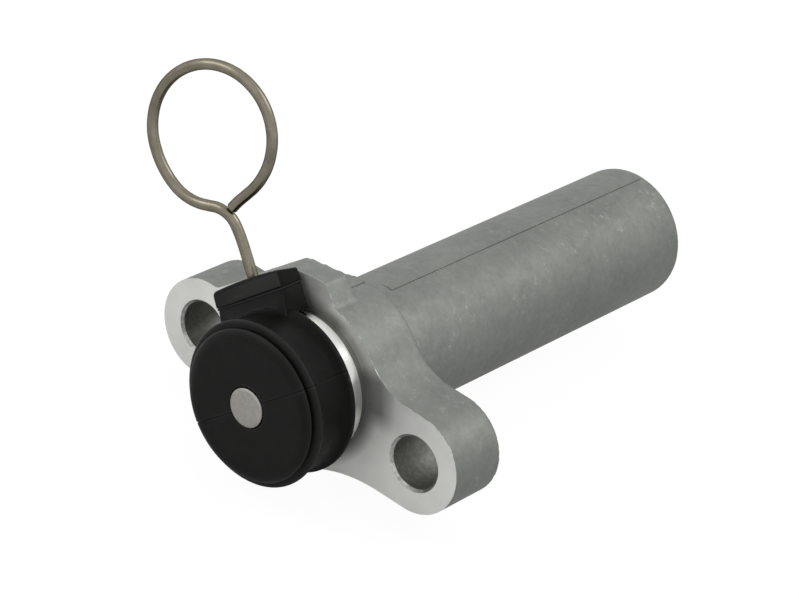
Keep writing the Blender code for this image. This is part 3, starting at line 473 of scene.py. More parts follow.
def make_drilled():
    drilled = new_finish("drilled_hole", (0.17, 0.17, 0.155), 1.0, 0.55)
    shader = shader_of(drilled)
    tone = ramp(drilled, spots(drilled, 0.8, 5.0, 0.7), [
        (0.3, (0.17, 0.17, 0.156)), (0.7, (0.28, 0.28, 0.26)),
    ])
    link(drilled, tone, shader.inputs["Base Color"])
    link(drilled, bump(drilled, spots(drilled, 0.6, 4.0), 0.03, 0.5), shader.inputs["Normal"])
    return drilled


turned_nose = make_turned("turned_nose", (0.86, 0.86, 0.84), 0.2, 0.22)
# The relief's dark colour is painted shade.
relief_painted_shade = make_turned("turned_relief", (0.24, 0.24, 0.225), 0.36, 0.3)
drilled = make_drilled()
chamfered = make_steel("hole_chamfer", (0.26, 0.26, 0.25), (0.6, 0.6, 0.58), 0.45, 0.9)
print("machined finishes", [made.name for made in (turned_nose, relief_painted_shade, drilled, chamfered)])

# %% [markdown]
# The boot is matte black rubber. Rubber hardly mirrors its surroundings, so its specular level
# is low, and a fine bump breaks up what is left. A few pale specks are scuffs, and sharp edges
# get a painted highlight, a little paler. The wall, and still more the sides of the pin's block,
# are duller than the disc, and so darker, which stands in for their shade; so the same recipe is
# made three times, each with its own plain specular level.

# %% Finish: black rubber
def make_rubber(name, shine):
    rubber = new_finish(name, (0.005, 0.005, 0.0047), 0.0, 0.42)
    shader = shader_of(rubber)
    shader.inputs["Specular IOR Level"].default_value = shine
    specks = ramp(rubber, spots(rubber, 1.1, 6.0, 0.75, 1.0), [
        (0.69, grey(0.0)), (0.73, grey(0.6)),
    ])
    body = ramp(rubber, spots(rubber, 4.0, 3.0), [
        (0.3, (0.004, 0.004, 0.0037)), (0.7, (0.006, 0.006, 0.0056)),
    ])
    specked = mix(rubber, "MIX", specks, body, (0.05, 0.05, 0.05))
    # Painted highlight on sharp edges.
    painted_edge_highlight = ramp(rubber, edges(rubber), [(0.515, grey(0.0)), (0.6, grey(1.0))])
    tone = mix(rubber, "MIX", painted_edge_highlight, specked, (0.03, 0.03, 0.029))
    link(rubber, tone, shader.inputs["Base Color"])
    rough = ramp(rubber, spots(rubber, 1.5, 4.0), [(0.3, grey(0.4)), (0.7, grey(0.52))])
    link(rubber, rough, shader.inputs["Roughness"])
    link(rubber, bump(rubber, spots(rubber, 0.6, 2.0), 0.01, 0.3), shader.inputs["Normal"])
    return rubber


moulded_rubber = make_rubber("moulded_rubber", 0.15)
# Duller copies, darker as painted shade on the wall and on the block's flanks.
wall_rubber_shaded = make_rubber("wall_rubber_shaded", 0.075)
flank_rubber_shaded = make_rubber("stub_flank_rubber", 0.045)
print("rubber finishes", [made.name for made in (moulded_rubber, wall_rubber_shaded, flank_rubber_shaded)])

# %% [markdown]
# The rod's end is ground steel, the pin is drawn wire with a brownish film, and the springs and
# clips inside are dark spring steel. Each is the same recipe with its own colours and spots.
# The wire's film also takes the white out of its highlights, which is what Specular Tint does.

# %% Finishes: steels and plastic
ground_steel = make_steel("ground_steel_tip", (0.36, 0.353, 0.325), (0.44, 0.433, 0.4), 0.3, 1.2)
pin_wire = make_steel("brown_wire", (0.2, 0.181, 0.138), (0.27, 0.247, 0.194), 0.28, 2.5)
shader_of(pin_wire).inputs["Specular Tint"].default_value = (0.3, 0.28, 0.25, 1)
dark_spring = make_steel("dark_spring_steel", (0.1, 0.1, 0.105), (0.17, 0.17, 0.175), 0.4, 1.5)
pale_steel = make_steel("pale_pressed_steel", (0.38, 0.38, 0.38), (0.5, 0.5, 0.49), 0.35, 2.0)
guide_plastic = make_steel("guide_nylon", (0.42, 0.38, 0.28), (0.5, 0.46, 0.36), 0.5, 2.0, 0.0)
print("finishes", len(bpy.data.materials))

# %% [markdown]
# The body starts as the foundry makes it: a rough casting. Its flange is an outline of arcs, two
# ears blended into a round middle, cut to a slab that stands a little proud of the finished
# face. Only the right half is computed, and the left half is its mirror image.

# %% Outline of the flange
CROWN_RADIUS = 14.5 * MM
CROWN_FILLET = 12.0 * MM
KEEL_RADIUS = 15.5 * MM
KEEL_FILLET = 27.0 * MM
EAR_TOP = EAR_RADIUS - HOLE_DROP
EAR_BOTTOM = -EAR_RADIUS - HOLE_DROP


def hollow(line, round_middle, fillet, steps):
    """The concave arc from an ear's level line to the round middle, on the right."""
    sign = 1 if line > 0 else -1
    height = line + sign * fillet
    side = math.sqrt((round_middle + fillet) ** 2 - height ** 2)
    end = math.degrees(math.atan2(-height, -side)) % 360
    return arc(side, height, fillet, 270 if line > 0 else 90, end, steps)


def mirrored(points):
    return [(-x, z) for x, z in reversed(points)]


def flange_outline():
    crown = hollow(EAR_TOP, CROWN_RADIUS, CROWN_FILLET, 16)
    keel = hollow(EAR_BOTTOM, KEEL_RADIUS, KEEL_FILLET, 10)
    crown_end = math.degrees(math.atan2(crown[-1][1], crown[-1][0]))
    keel_end = math.degrees(math.atan2(keel[-1][1], keel[-1][0]))
    right = arc(0, 0, KEEL_RADIUS, -90, keel_end, 12)[1:-1] + keel[::-1]
    right += arc(HOLE_SIDE, -HOLE_DROP, EAR_RADIUS, -90, 90, 40)
    right += crown + arc(0, 0, CROWN_RADIUS, crown_end, 90, 12)[1:-1]
    bottom = [(0.0, -KEEL_RADIUS)]
    top = [(0.0, CROWN_RADIUS)]
    return bottom + right + top + mirrored(right)


print("flange outline points", len(flange_outline()))

# %% [markdown]
# The lobe under the pin is a second, thinner slab behind the same face. It has a straight right
# side along the pin, a nearly level top that rises a little to the right, a tight right corner
# and a rounder left one. Four straight lines give its corners, and short arcs round two of them.

# %% Outline of the lobe under the pin
BOSS_REACH = 18.3 * MM
BOSS_SIDE = 11.15 * MM
BOSS_CUT = 17.85 * MM
BOSS_RISE = 0.14
LEFT_CORNER = 3.0 * MM
RIGHT_CORNER = 1.0 * MM
BOSS_DEPTH = 5.4 * MM
BOSS_TUCK = 0.4 * MM


def slanted(across, up):
    """A point of the front view from its places across and along the pin."""
    c, s = math.cos(PIN_SLANT), math.sin(PIN_SLANT)
    return (across * c - up * s, across * s + up * c)


def rounded_corner(before, corner, after, radius, steps=6):
    """Points of the arc that rounds one corner of an outline."""
    corner = Vector(corner)
    first = (Vector(before) - corner).normalized()
    last = (Vector(after) - corner).normalized()
    half = first.angle(last) / 2
    centre = corner + (first + last).normalized() * radius / math.sin(half)
    start = corner + first * radius / math.tan(half) - centre
    end = corner + last * radius / math.tan(half) - centre
    sweep = math.pi - 2 * half
    points = []
    for i in range(steps + 1):
        share = i / steps
        spoke = start * math.sin((1 - share) * sweep) + end * math.sin(share * sweep)
        points.append(tuple(centre + spoke / math.sin(sweep)))
    return points


def boss_outline():
    """The lobe's top is cut nearly level, rising a little to the right."""
    slope = math.tan(PIN_SLANT)
    reach = BOSS_REACH / math.cos(PIN_SLANT)
    c, s = math.cos(PIN_SLANT), math.sin(PIN_SLANT)
    left_x = (BOSS_CUT - reach) / (slope - BOSS_RISE)
    left = (left_x, BOSS_CUT + BOSS_RISE * left_x)
    right_x = (BOSS_SIDE - s * BOSS_CUT) / (c + s * BOSS_RISE)
    right = (right_x, BOSS_CUT + BOSS_RISE * right_x)
    foot = ((EAR_TOP - reach) / slope - BOSS_TUCK, EAR_TOP)
    sunk = EAR_TOP - MM
    side = slanted(BOSS_SIDE, 0)
    outline = [(0.0, sunk), side]
    outline += rounded_corner(side, right, left, RIGHT_CORNER)
    outline += rounded_corner(right, left, foot, LEFT_CORNER)
    return outline + [foot, (foot[0], sunk)]


print("lobe outline points", len(boss_outline()))

# %% [markdown]
# Remesh melts the overlapping slabs and the barrel into one skin of small even faces, and a few
# rounds of smoothing soften all its edges, as molten metal fills a mould. The milling that
# follows then leaves crisp edges only where the real part has them.

# %% Cast the blank
SPARE = 0.8 * MM
VOXEL = 0.38 * MM
BARREL_EDGE = 1.1 * MM
BARREL_ROOT = 0.35 * MM
BARREL_START = -1.0 * MM


def barrel_profile():
    rear = -FLANGE_THICKNESS
    root = BARREL_RADIUS + BARREL_ROOT
    corner = BARREL_RADIUS - BARREL_EDGE
    profile = [(0, BARREL_START), (root, BARREL_START), (root, rear)]
    profile += arc(root, rear - BARREL_ROOT, BARREL_ROOT, 90, 180, 4)[1:]
    profile += arc(corner, BARREL_EDGE - BARREL_LENGTH, BARREL_EDGE, 0, -90, 8)
    return profile + [(0, -BARREL_LENGTH)]


def cast_blank():
    flange = slab("tensioner_body", flange_outline(), SPARE, -FLANGE_THICKNESS)
    boss = slab("boss", boss_outline(), SPARE, -BOSS_DEPTH)
    barrel = spun("barrel", barrel_profile(), 180)
    only(flange)
    boss.select_set(True)
    barrel.select_set(True)
    bpy.ops.object.join()
    remesh = flange.modifiers.new("Melt", "REMESH")
    remesh.mode = "VOXEL"
    remesh.voxel_size = VOXEL
    soften = flange.modifiers.new("Soften", "SMOOTH")
    soften.factor = 0.5
    soften.iterations = 3
    return apply_all(flange)


body = cast_blank()
body.data.materials.append(cast_skin)
print("casting", len(body.data.polygons), "faces")

# %% [markdown]
# A Boolean modifier joins a tool to a piece or cuts it out. Laying one mesh on another would be
# quicker, but would leave hidden faces inside, and this way the piece stays one closed skin.

# %% Join or cut with a tool
def boolean(piece, tool, operation):
    """Join or cut with a tool that keeps its own finish, then remove the tool."""
    step = piece.modifiers.new(tool.name, "BOOLEAN")
    step.operation = operation
    step.object = tool
    step.solver = "EXACT"
    step.material_mode = "TRANSFER"
    apply_all(piece)
    bpy.data.objects.remove(tool, do_unlink=True)


# %% [markdown]
# The two halves of the mould never meet exactly, which leaves a fine step along the top of the
# barrel and a second one on the flange's crown. Each is a thin sliver that stands proud on one
# side and runs out flat on the other. Its start is an angle, and its ends are millimetres back.

# %% Add the two mould steps
SLIVER_ARC = 16
SLIVER_RISE = 0.1 * MM
SLIVER_SINK = 0.04 * MM
SLIVER_ROOT = 0.6 * MM
MOULD_STEPS = ((BARREL_RADIUS, 85.4, 16.2, 85.6), (CROWN_RADIUS, 92.8, 5.2, 10.6))


def parting_step(radius, start, front, rear):
    """A sliver, proud at its start angle, that sinks into the round over its arc."""
    low = radius - SLIVER_ROOT
    rim = []
    for i in range(SLIVER_ARC + 1):
        angle = math.radians(start + i)
        reach = radius + SLIVER_RISE - (SLIVER_RISE + SLIVER_SINK) * i / SLIVER_ARC
        rim.append((reach * math.cos(angle), reach * math.sin(angle)))
    for degrees in (start + SLIVER_ARC, start):
        angle = math.radians(degrees)
        rim.append((low * math.cos(angle), low * math.sin(angle)))
    return slab("parting_step", rim, -front * MM, -rear * MM)


for radius, start, front, rear in MOULD_STEPS:
    step_tool = parting_step(radius, start, front, rear)
    step_tool.data.materials.append(cast_skin)
    boolean(body, step_tool, "UNION")
print("mould steps", len(MOULD_STEPS))

# %% [markdown]
# Now the machining. The nose is a turned piece of the same metal, so it is joined and not laid
# on: an end that fits in the boot, the shoulder ring, and the relief behind it. The bore steps
# down from the mouth, past the snap ring's groove, to the long part for the sleeve. Sections
# are written in millimetres, as pairs of radius and height, and scaled where they are used.

# %% Sections of nose and bore
NOSE = [
    (0, 10.0), (10.8, 10.0), (11.3, 9.5), (11.3, 7.8), (10.6, 7.8), (10.6, 6.2), (11.3, 6.2),
    (11.3, 4.65), (12.2, 4.65), (12.35, 4.5), (12.35, 1.6), (12.25, 1.45), (11.85, 1.1),
    (11.85, -3.0), (0, -3.0),
]
BORE = [
    (0, 11.0), (9.4, 11.0), (9.4, 0.9), (9.9, 0.9), (9.9, -0.9), (9.4, -0.9), (9.4, -8.5),
    (9.0, -8.5), (9.0, -82.1), (0, -82.1),
]


def millimetres(points):
    return [(radius * MM, height * MM) for radius, height in points]


print("nose points", len(NOSE), "bore points", len(BORE))

# %% [markdown]
# A cutting tool leaves its own finish: Boolean gives the faces that it cuts the tool's material.
# So the tools carry materials, and a tool with two finishes gets the second by place.

# %% Cutting tools
CHAMFER = 0.45 * MM
OVERRUN = 1.0 * MM
PIN_CLEARANCE = 0.4 * MM
MILL_DEPTH = 10 * MM
MILL_WIDTH = 100 * MM


def refinish(piece, finish, chosen):
    """Give another finish to the faces whose centre passes a test."""
    piece.data.materials.append(finish)
    for face in piece.data.polygons:
        if chosen(face.center):
            face.material_index = len(piece.data.materials) - 1


def mill_front():
    bpy.ops.object.select_all(action="DESELECT")
    bpy.ops.mesh.primitive_cube_add(
        size=1, location=(0, -MILL_DEPTH / 2, 0), scale=(MILL_WIDTH, MILL_DEPTH, MILL_WIDTH),
    )
    tool = bpy.context.object
    bpy.ops.object.transform_apply(location=True, rotation=True, scale=True)
    tool.data.materials.append(milled_face)
    boolean(body, tool, "DIFFERENCE")


def drill_bolt_hole(side):
    low = -FLANGE_THICKNESS - OVERRUN
    profile = [
        (0, OVERRUN), (HOLE_RADIUS + CHAMFER + OVERRUN, OVERRUN), (HOLE_RADIUS, -CHAMFER),
        (HOLE_RADIUS, low), (0, low),
    ]
    tool = spun("bolt_drill", profile, 72)
    tool.data.materials.append(drilled)
    refinish(tool, chamfered, lambda centre: centre.y < CHAMFER)
    tool.location = (side * HOLE_SIDE, 0, -HOLE_DROP)
    only(tool)
    bpy.ops.object.transform_apply(location=True)
    boolean(body, tool, "DIFFERENCE")


def along_pin(piece):
    """Turn a piece that was made upright to the slant of the pin."""
    only(piece)
    piece.rotation_euler = (0, -PIN_SLANT, 0)
    bpy.ops.object.transform_apply(location=True, rotation=True, scale=True)
    return piece


def pin_drill(name, low, high, finish):
    middle = (low + high) / 2
    bpy.ops.object.select_all(action="DESELECT")
    bpy.ops.mesh.primitive_cylinder_add(
        vertices=48, radius=WIRE_RADIUS + PIN_CLEARANCE, depth=high - low,
        location=(0, -PIN_PLACE, middle),
    )
    tool = bpy.context.object
    tool.name = name
    only(tool)
    bpy.ops.object.transform_apply(location=True)
    tool.data.materials.append(finish)
    return along_pin(tool)


# %% [markdown]
# The order matters. The face is milled first, then the nose is joined, and the bore and holes are
# cut last, so that they go through all of it. Edges sharper than 30 degrees stay sharp.

# %% Machine the casting
RELIEF_FRONT = -1.5 * MM
NOSE_WALL = (6 * MM, 14 * MM)
CRISP = math.radians(30)

mill_front()
nose = spun("nose", millimetres(NOSE), 144)
nose.data.materials.append(turned_nose)
refinish(nose, relief_painted_shade, lambda centre: centre.y > RELIEF_FRONT)
boolean(body, nose, "UNION")
bore = spun("bore", millimetres(BORE), 96)
bore.data.materials.append(drilled)
boolean(body, bore, "DIFFERENCE")
for side in (-1, 1):
    drill_bolt_hole(side)
boolean(body, pin_drill("nose_pin_drill", *NOSE_WALL, drilled), "DIFFERENCE")
only(body)
bpy.ops.object.shade_smooth_by_angle(angle=CRISP)
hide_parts("housing")
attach(body, "housing")
print("machined body", len(body.data.polygons), "faces")

# %% [markdown]
# The boot is moulded as a cup: a flat disc round the rod, a folded edge, a roll, a plain wall and
# a lip that sits against the shoulder ring. Its section is drawn finely, because the folds catch
# the light. It runs from the disc's inner edge down the outside and back up the inside.

# %% Turn the boot
BOOT = [
    (3.5, 15.0), (3.55, 15.12), (3.68, 15.2), (4.1, 15.2), (10.6, 15.2), (11.1, 15.2),
    (11.45, 15.17), (11.8, 15.09), (12.13, 14.97), (12.42, 14.8), (12.66, 14.6), (12.8, 14.38),
    (12.78, 14.24), (12.58, 14.14), (12.38, 14.06), (12.33, 13.96), (12.42, 13.84), (12.9, 13.74),
    (13.4, 13.66), (13.75, 13.5), (13.92, 13.28), (13.92, 13.04), (13.8, 12.82), (13.54, 12.6),
    (13.34, 12.2), (13.25, 11.5), (13.12, 10.0), (13.04, 8.6), (13.02, 7.6), (13.08, 7.1),
    (13.25, 6.65), (13.5, 6.3), (13.75, 6.05), (13.93, 5.9), (14.0, 5.72), (14.02, 5.4),
    (13.98, 5.12), (13.88, 4.98), (13.75, 4.95), (11.6, 4.95), (11.6, 6.2), (10.9, 6.5),
    (10.9, 7.5), (11.6, 7.8), (11.6, 11.2), (12.2, 12.2), (12.2, 12.9), (10.9, 13.7), (3.2, 13.7),
    (3.2, 14.1), (3.5, 14.1),
]
boot = spun("rubber_boot", millimetres(BOOT), 160, closed=True)
print("boot wall", len(boot.data.polygons), "faces")

# %% [markdown]
# The block on the boot guides the pin. It is moulded in one with the boot: a lower block that
# straddles the ring, a thin ledge and a cap with rounded shoulders and a slight crown. Each is an
# outline in the pin's own frame, extruded to a slab, and a Bevel modifier rounds its edges. Its
# vertices are then moved, so that the front leans forward at the foot and the cap slopes back.

# %% Shape a block for the pin
LEAN = 0.11
FOOT_LEAN = 0.14
LEAN_TOP = 18.2 * MM
FOOT_TOP = 15.4 * MM
FRONT_LIMIT = -4 * MM
SLOPE_START = -5.6 * MM
SLOPE_LENGTH = 4.4 * MM


def rounded_block(name, low, high, lefts, rights, depths, corners, rise, edge):
    """A block in the pin's frame: each side runs from its lower to its upper place."""
    crown_steps = 8
    left_round, right_round = corners
    left, right = lefts[1] + left_round, rights[1] - right_round
    outline = [(lefts[0], low), (rights[0], low)]
    outline += arc(right, high - right_round, right_round, 0, 90, 6)[:-1]
    for i in range(crown_steps + 1):
        share = 2 * i / crown_steps - 1
        place = right + (left - right) * i / crown_steps
        outline.append((place, high + rise * (1 - share ** 2)))
    outline += arc(left, high - left_round, left_round, 90, 180, 6)[1:]
    block = slab(name, [(x * MM, z * MM) for x, z in outline], depths[0] * MM, depths[1] * MM)
    bevel = block.modifiers.new("Round", "BEVEL")
    bevel.width = edge * MM
    bevel.segments = 4
    bevel.limit_method = "ANGLE"
    bevel.angle_limit = math.radians(40)
    return apply_all(block)


def lean(block, back_by):
    """Slope the front face: forward at the foot, back at the top."""
    for vertex in block.data.vertices:
        if vertex.co.y < FRONT_LIMIT:
            up = vertex.co.z
            forward = LEAN * (LEAN_TOP - up) + FOOT_LEAN * max(0.0, FOOT_TOP - up)
            vertex.co.y -= forward - back_by * MM


def slope_back(block, high, reach, fall):
    """Lower the top towards the rear, most at the very top."""
    for vertex in block.data.vertices:
        up = min(1.0, max(0.0, 1 - (high * MM - vertex.co.z) / (reach * MM)))
        back = min(1.0, max(0.0, (vertex.co.y - SLOPE_START) / SLOPE_LENGTH))
        vertex.co.z -= fall * MM * up * back


# %% [markdown]
# The mould also left a fine seam across the disc and down the wall, on both sides of the rod. It
# is a real groove, cut by a thin blade that has the boot's own outside, set a little inwards.

# %% A blade for the seam
SEAM_DEPTH = 0.14
SEAM_HALF_WIDTH = 0.11 * MM
DISC_EDGE = 3.3
DISC_HEIGHT = 15.2
BLADE_REACH = 16
BLADE_FRONT = 17


def seam_cutter(half_turn):
    """A thin blade for one side of the boot."""
    outside = BOOT[2:BOOT.index((14.02, 5.4))]
    outline = [(DISC_EDGE, DISC_HEIGHT - SEAM_DEPTH)]
    outline += [(radius - SEAM_DEPTH, height - SEAM_DEPTH) for radius, height in outside]
    outline += [
        (BLADE_REACH, outline[-1][1]), (BLADE_REACH, BLADE_FRONT), (DISC_EDGE, BLADE_FRONT),
    ]
    blade = slab("seam_cutter", millimetres(outline), SEAM_HALF_WIDTH, -SEAM_HALF_WIDTH)
    for turn in ((math.pi / 2, 0, 0), (0, half_turn, 0)):
        only(blade)
        blade.rotation_euler = turn
        bpy.ops.object.transform_apply(location=False, rotation=True, scale=False)
    blade.data.materials.append(moulded_rubber)
    return along_pin(blade)


# %% [markdown]
# Three parts of the boot differ in gloss: the disc with its fold, the wall, and the right side and
# back of the block, and the duller two are darker as painted shade. A face belongs to one of them
# by the place of its centre.

# %% Parts of the boot by place
BOOT_REACH = 14.3
BLOCK_FOOT = 13.4
BLOCK_SIDE = 7.35
BLOCK_FRONT = -8 * MM
BLOCK_BACK = -5.0 * MM
WALL_FRONT = -13.0 * MM


def within(centre, radius):
    return math.hypot(centre.x, centre.z) < radius * MM


def in_pin_frame(centre):
    """The place across and along the pin, in millimetres."""
    c, s = math.cos(PIN_SLANT), math.sin(PIN_SLANT)
    return (centre.x * c + centre.z * s) / MM, (centre.z * c - centre.x * s) / MM


def on_wall(centre):
    stub = in_pin_frame(centre)[1] > BLOCK_FOOT and centre.y > BLOCK_FRONT
    return within(centre, BOOT_REACH) and centre.y > WALL_FRONT and not stub


def on_flank(centre):
    aside = centre.y > BLOCK_BACK or in_pin_frame(centre)[0] > BLOCK_SIDE
    return aside and not within(centre, BOOT_REACH)


# %% [markdown]
# Now the three blocks are made, leaned, turned to the slant of the pin and joined to the cup.
# Two round rooms are cut out of their feet, one for the shoulder ring and one for the inside of
# the cup. The pin's hole and the seam are cut last.

# %% Mould the pin's block on the boot
BLOCK_THROUGH = (11 * MM, 20 * MM)


def room(name, radius, front):
    """A plug that clears the blocks' feet out of the cup."""
    return spun(name, millimetres([(0, front), (radius, front), (radius, 0), (0, 0)]), 144)


block = rounded_block(
    "block", 11, 15.37, lefts=(-8.3, -8.2), rights=(7.25, 7.6), depths=(5.4, 1.4),
    corners=(0.3, 0.3), rise=0, edge=0.2,
)
ledge = rounded_block(
    "ledge", 15.3, 15.65, lefts=(-8.25, -8.3), rights=(7.6, 7.6), depths=(5.4, 1.2),
    corners=(0.1, 0.1), rise=0, edge=0.08,
)
cap = rounded_block(
    "cap", 15.62, 18.55, lefts=(-8.55, -8.45), rights=(7.65, 7.5), depths=(5.4, 0.8),
    corners=(1.0, 0.5), rise=0.3, edge=0.4,
)
lean(block, back_by=0.15)
lean(ledge, back_by=0.05)
lean(cap, back_by=0.0)
slope_back(cap, high=18.8, reach=2.0, fall=0.9)
for piece in (block, ledge, cap):
    boolean(boot, along_pin(piece), "UNION")
boolean(boot, room("ring_room", 12.75, 5.0), "DIFFERENCE")
boolean(boot, room("cup_room", 11.65, 5.75), "DIFFERENCE")
boolean(boot, pin_drill("block_pin_drill", *BLOCK_THROUGH, moulded_rubber), "DIFFERENCE")
for half_turn in (0, math.pi):
    boolean(boot, seam_cutter(half_turn), "DIFFERENCE")
print("boot and block", len(boot.data.polygons), "faces")

# %% [markdown]
# The tools left several materials on the boot, so its list is cleared before it gets its three
# rubbers. The boot holds on to the body at its lip and to the rod at its disc, and the wall
# stretches between them when the rod comes out.

# %% Finish the boot
boot.data.materials.clear()
boot.data.materials.append(moulded_rubber)
refinish(boot, wall_rubber_shaded, on_wall)
refinish(boot, flank_rubber_shaded, on_flank)
only(boot)
bpy.ops.object.shade_smooth_by_angle(angle=math.radians(38))
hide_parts("boot")
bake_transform(boot)
print("boot finishes", [finish.name for finish in boot.data.materials])

# %% [markdown]
# Of the rod only the end shows, flush in the boot: a ground disc with a rounded, brighter rim.
# The whole rod is turned again with more facets, so that the rim is round. The grooves for its
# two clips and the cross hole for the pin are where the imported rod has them.

# %% Turn the rod
ROD = [
    (0, 15.46), (2.9, 15.46), (3.12, 15.42), (3.3, 15.3), (3.38, 15.12), (3.4, 14.9), (3.4, 14.4),
    (2.9, 14.4), (2.9, 13.4), (3.4, 13.4), (3.4, -17.05), (2.9, -17.05), (2.9, -18.35),
    (3.4, -18.35), (3.4, -23.65), (2.9, -23.65), (2.9, -24.95), (3.4, -24.95), (3.4, -26.2),
    (2.6, -27.0), (0, -27.0),
]
ROD_THROUGH = (-5 * MM, 5 * MM)
rod = spun("rod", millimetres(ROD), 96)
rod.data.materials.append(ground_steel)
boolean(rod, pin_drill("rod_pin_drill", *ROD_THROUGH, drilled), "DIFFERENCE")
only(rod)
bpy.ops.object.shade_smooth_by_angle(angle=CRISP)
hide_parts("push_rod")
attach(rod, "rod")
print("rod", len(rod.data.polygons), "faces")

# %% [markdown]
# The pin is one length of wire. Its shank goes down through the block, the nose and the rod, and
# is bowed a little where it shows. At the top it bends to the side and sweeps round a finger
# ring, whose cut end stops just short of the bend. The wire's path is written as a person would
# bend it: points under the ring for the shank, then angles round the ring, each with how far the
# wire stands off the true circle. All numbers are in the pin's own frame.

# %% The path of the wire
RING_RADIUS = 11.04 * MM
RING_CENTRE = (2.63 * MM, 42.2 * MM)
RING_TURN = math.radians(12.7)
RING_FOOT = (
    (-103.5, 1.7), (-110, 0.95), (-118, 0.8), (-127, 0.85), (-136, 0.82), (-145, 0.7),
    (-155, 0.45), (-165, 0.22), (-175, 0.08),
)
RING_TAIL = ((-68, 0.05), (-80, 0.15), (-90, 0.55), (-96.8, 1.2))
SHANK_BOWS = (
    (17.2, -0.1, 0.0), (12.7, -0.4, 0.0), (9.6, -0.08, 0.0), (6.7, 0.2, 0.0),
    (4.2, 0.3, 0.08), (3.1, 0.25, 0.2), (2.3, 0.08, 0.35),
)
SHANK_END = 0.3 * MM
SHANK_MIDDLE = 10 * MM
RING_SWEEP = range(-185, -416, -10)
BULGE = 0.15
BULGE_SIDE = -305


def on_ring(degrees, stand_off=0.0):
    """A point of the wire in the pin's frame, from its angle round the ring."""
    angle = math.radians(degrees)
    radius = RING_RADIUS + stand_off * MM
    across = radius * math.cos(angle)
    side = RING_CENTRE[0] + across * math.cos(RING_TURN)
    up = RING_CENTRE[1] + radius * math.sin(angle)
    return (side, -PIN_PLACE + across * math.sin(RING_TURN), up)


def bulge(degrees):
    """The ring stands out a little at its upper right."""
    return BULGE * max(0.0, math.cos(math.radians(degrees - BULGE_SIDE)))


def wire_path():
    foot = RING_CENTRE[1] - RING_RADIUS
    points = [(0, -PIN_PLACE, SHANK_END), (0, -PIN_PLACE, SHANK_MIDDLE)]
    for under, side, forward in SHANK_BOWS:
        points.append((side * MM, -PIN_PLACE - forward * MM, foot - under * MM))
    points += [on_ring(angle, stand_off) for angle, stand_off in RING_FOOT]
    points += [on_ring(angle, bulge(angle)) for angle in RING_SWEEP]
    return points + [on_ring(angle, stand_off) for angle, stand_off in RING_TAIL]


print("wire points", len(wire_path()))

# %% [markdown]
# A Bezier curve with automatic handles runs smoothly through the points. Its bevel gives it the
# wire's thickness, its ends are capped, and then it is made a mesh and turned to the pin's slant.

# %% Bend the locking pin
def bend_wire(name, path):
    curve = bpy.data.curves.new(name, "CURVE")
    curve.dimensions = "3D"
    curve.bevel_depth = WIRE_RADIUS
    curve.bevel_resolution = 8
    curve.resolution_u = 6
    curve.use_fill_caps = True
    spline = curve.splines.new("BEZIER")
    spline.bezier_points.add(len(path) - 1)
    for point, place in zip(spline.bezier_points, path):
        point.co = place
        point.handle_left_type = "AUTO"
        point.handle_right_type = "AUTO"
    wire = bpy.data.objects.new(name, curve)
    bpy.context.scene.collection.objects.link(wire)
    only(wire)
    bpy.ops.object.convert(target="MESH")
    return bpy.context.object


pin = bend_wire("wire_pin", wire_path())
only(pin)
bpy.ops.object.mode_set(mode="EDIT")
bpy.ops.mesh.select_all(action="SELECT")
bpy.ops.mesh.remove_doubles(threshold=WELD)
bpy.ops.object.mode_set(mode="OBJECT")
bpy.ops.object.shade_smooth_by_angle(angle=math.radians(40))
pin.data.materials.clear()
pin.data.materials.append(pin_wire)
along_pin(pin)
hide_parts("lock_pin")
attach(pin, "pin")
print("pin", len(pin.data.polygons), "faces")

# %% [markdown]
# The pieces inside can't be seen here, but they are real and move. Modelling them again would
# add nothing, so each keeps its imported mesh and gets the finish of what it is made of.

# %% Finish the inner pieces
INNER = {
    "snap_ring": dark_spring, "front_rod_clip": dark_spring, "rear_rod_clip": dark_spring,
    "sleeve_clip": dark_spring, "plunger_spring": dark_spring, "ball_spring": dark_spring,
    "seal_washer": pale_steel, "seal_case": pale_steel, "sleeve": pale_steel,
    "spring_seat": pale_steel, "valve_seat": pale_steel, "ball_cage": pale_steel,
    "check_ball": pale_steel, "plunger": pale_steel, "wear_ring": guide_plastic,
    "oil_seal": moulded_rubber, "sleeve_o_ring": moulded_rubber,
}
for name, finish in INNER.items():
    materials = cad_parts[name].data.materials
    materials.clear()
    materials.append(finish)
print("inner pieces", len(INNER))

# %% [markdown]
# The photograph is taken from in front of the rod, above and to the right, with the camera
# rolled a little. Its place, direction and lens were found by matching the outlines of the
# holes, ears, barrel and boot. The three axes of the camera are written into its matrix.

# %% Camera
CAMERA_AZIMUTH = math.radians(33.658)
CAMERA_HEIGHT = math.radians(30.351)
CAMERA_ROLL = math.radians(12.834)
CAMERA_PLACE = (256.65 * MM, -365.07 * MM, 279.29 * MM)
LENS = 147.6
SENSOR_WIDTH = 36
NEAR_CLIP = 0.01


def add_camera():
    data = bpy.data.cameras.new("camera")
    data.sensor_width = SENSOR_WIDTH
    data.sensor_fit = "HORIZONTAL"
    data.lens = LENS
    data.clip_start = NEAR_CLIP
    camera = bpy.data.objects.new("camera", data)
    bpy.context.scene.collection.objects.link(camera)
    flat = math.cos(CAMERA_HEIGHT)
    backwards = Vector((
        math.sin(CAMERA_AZIMUTH) * flat, -math.cos(CAMERA_AZIMUTH) * flat, math.sin(CAMERA_HEIGHT),
    ))
    level = Vector((0, 0, 1)).cross(backwards).normalized()
    right = level * math.cos(CAMERA_ROLL) + backwards.cross(level) * math.sin(CAMERA_ROLL)
    up = backwards.cross(right)
    for column, axis in enumerate((right, up, backwards, Vector(CAMERA_PLACE))):
        for row in range(3):
            camera.matrix_world[row][column] = axis[row]
    bpy.context.scene.camera = camera


add_camera()
print("camera", bpy.context.scene.camera.matrix_world.translation)

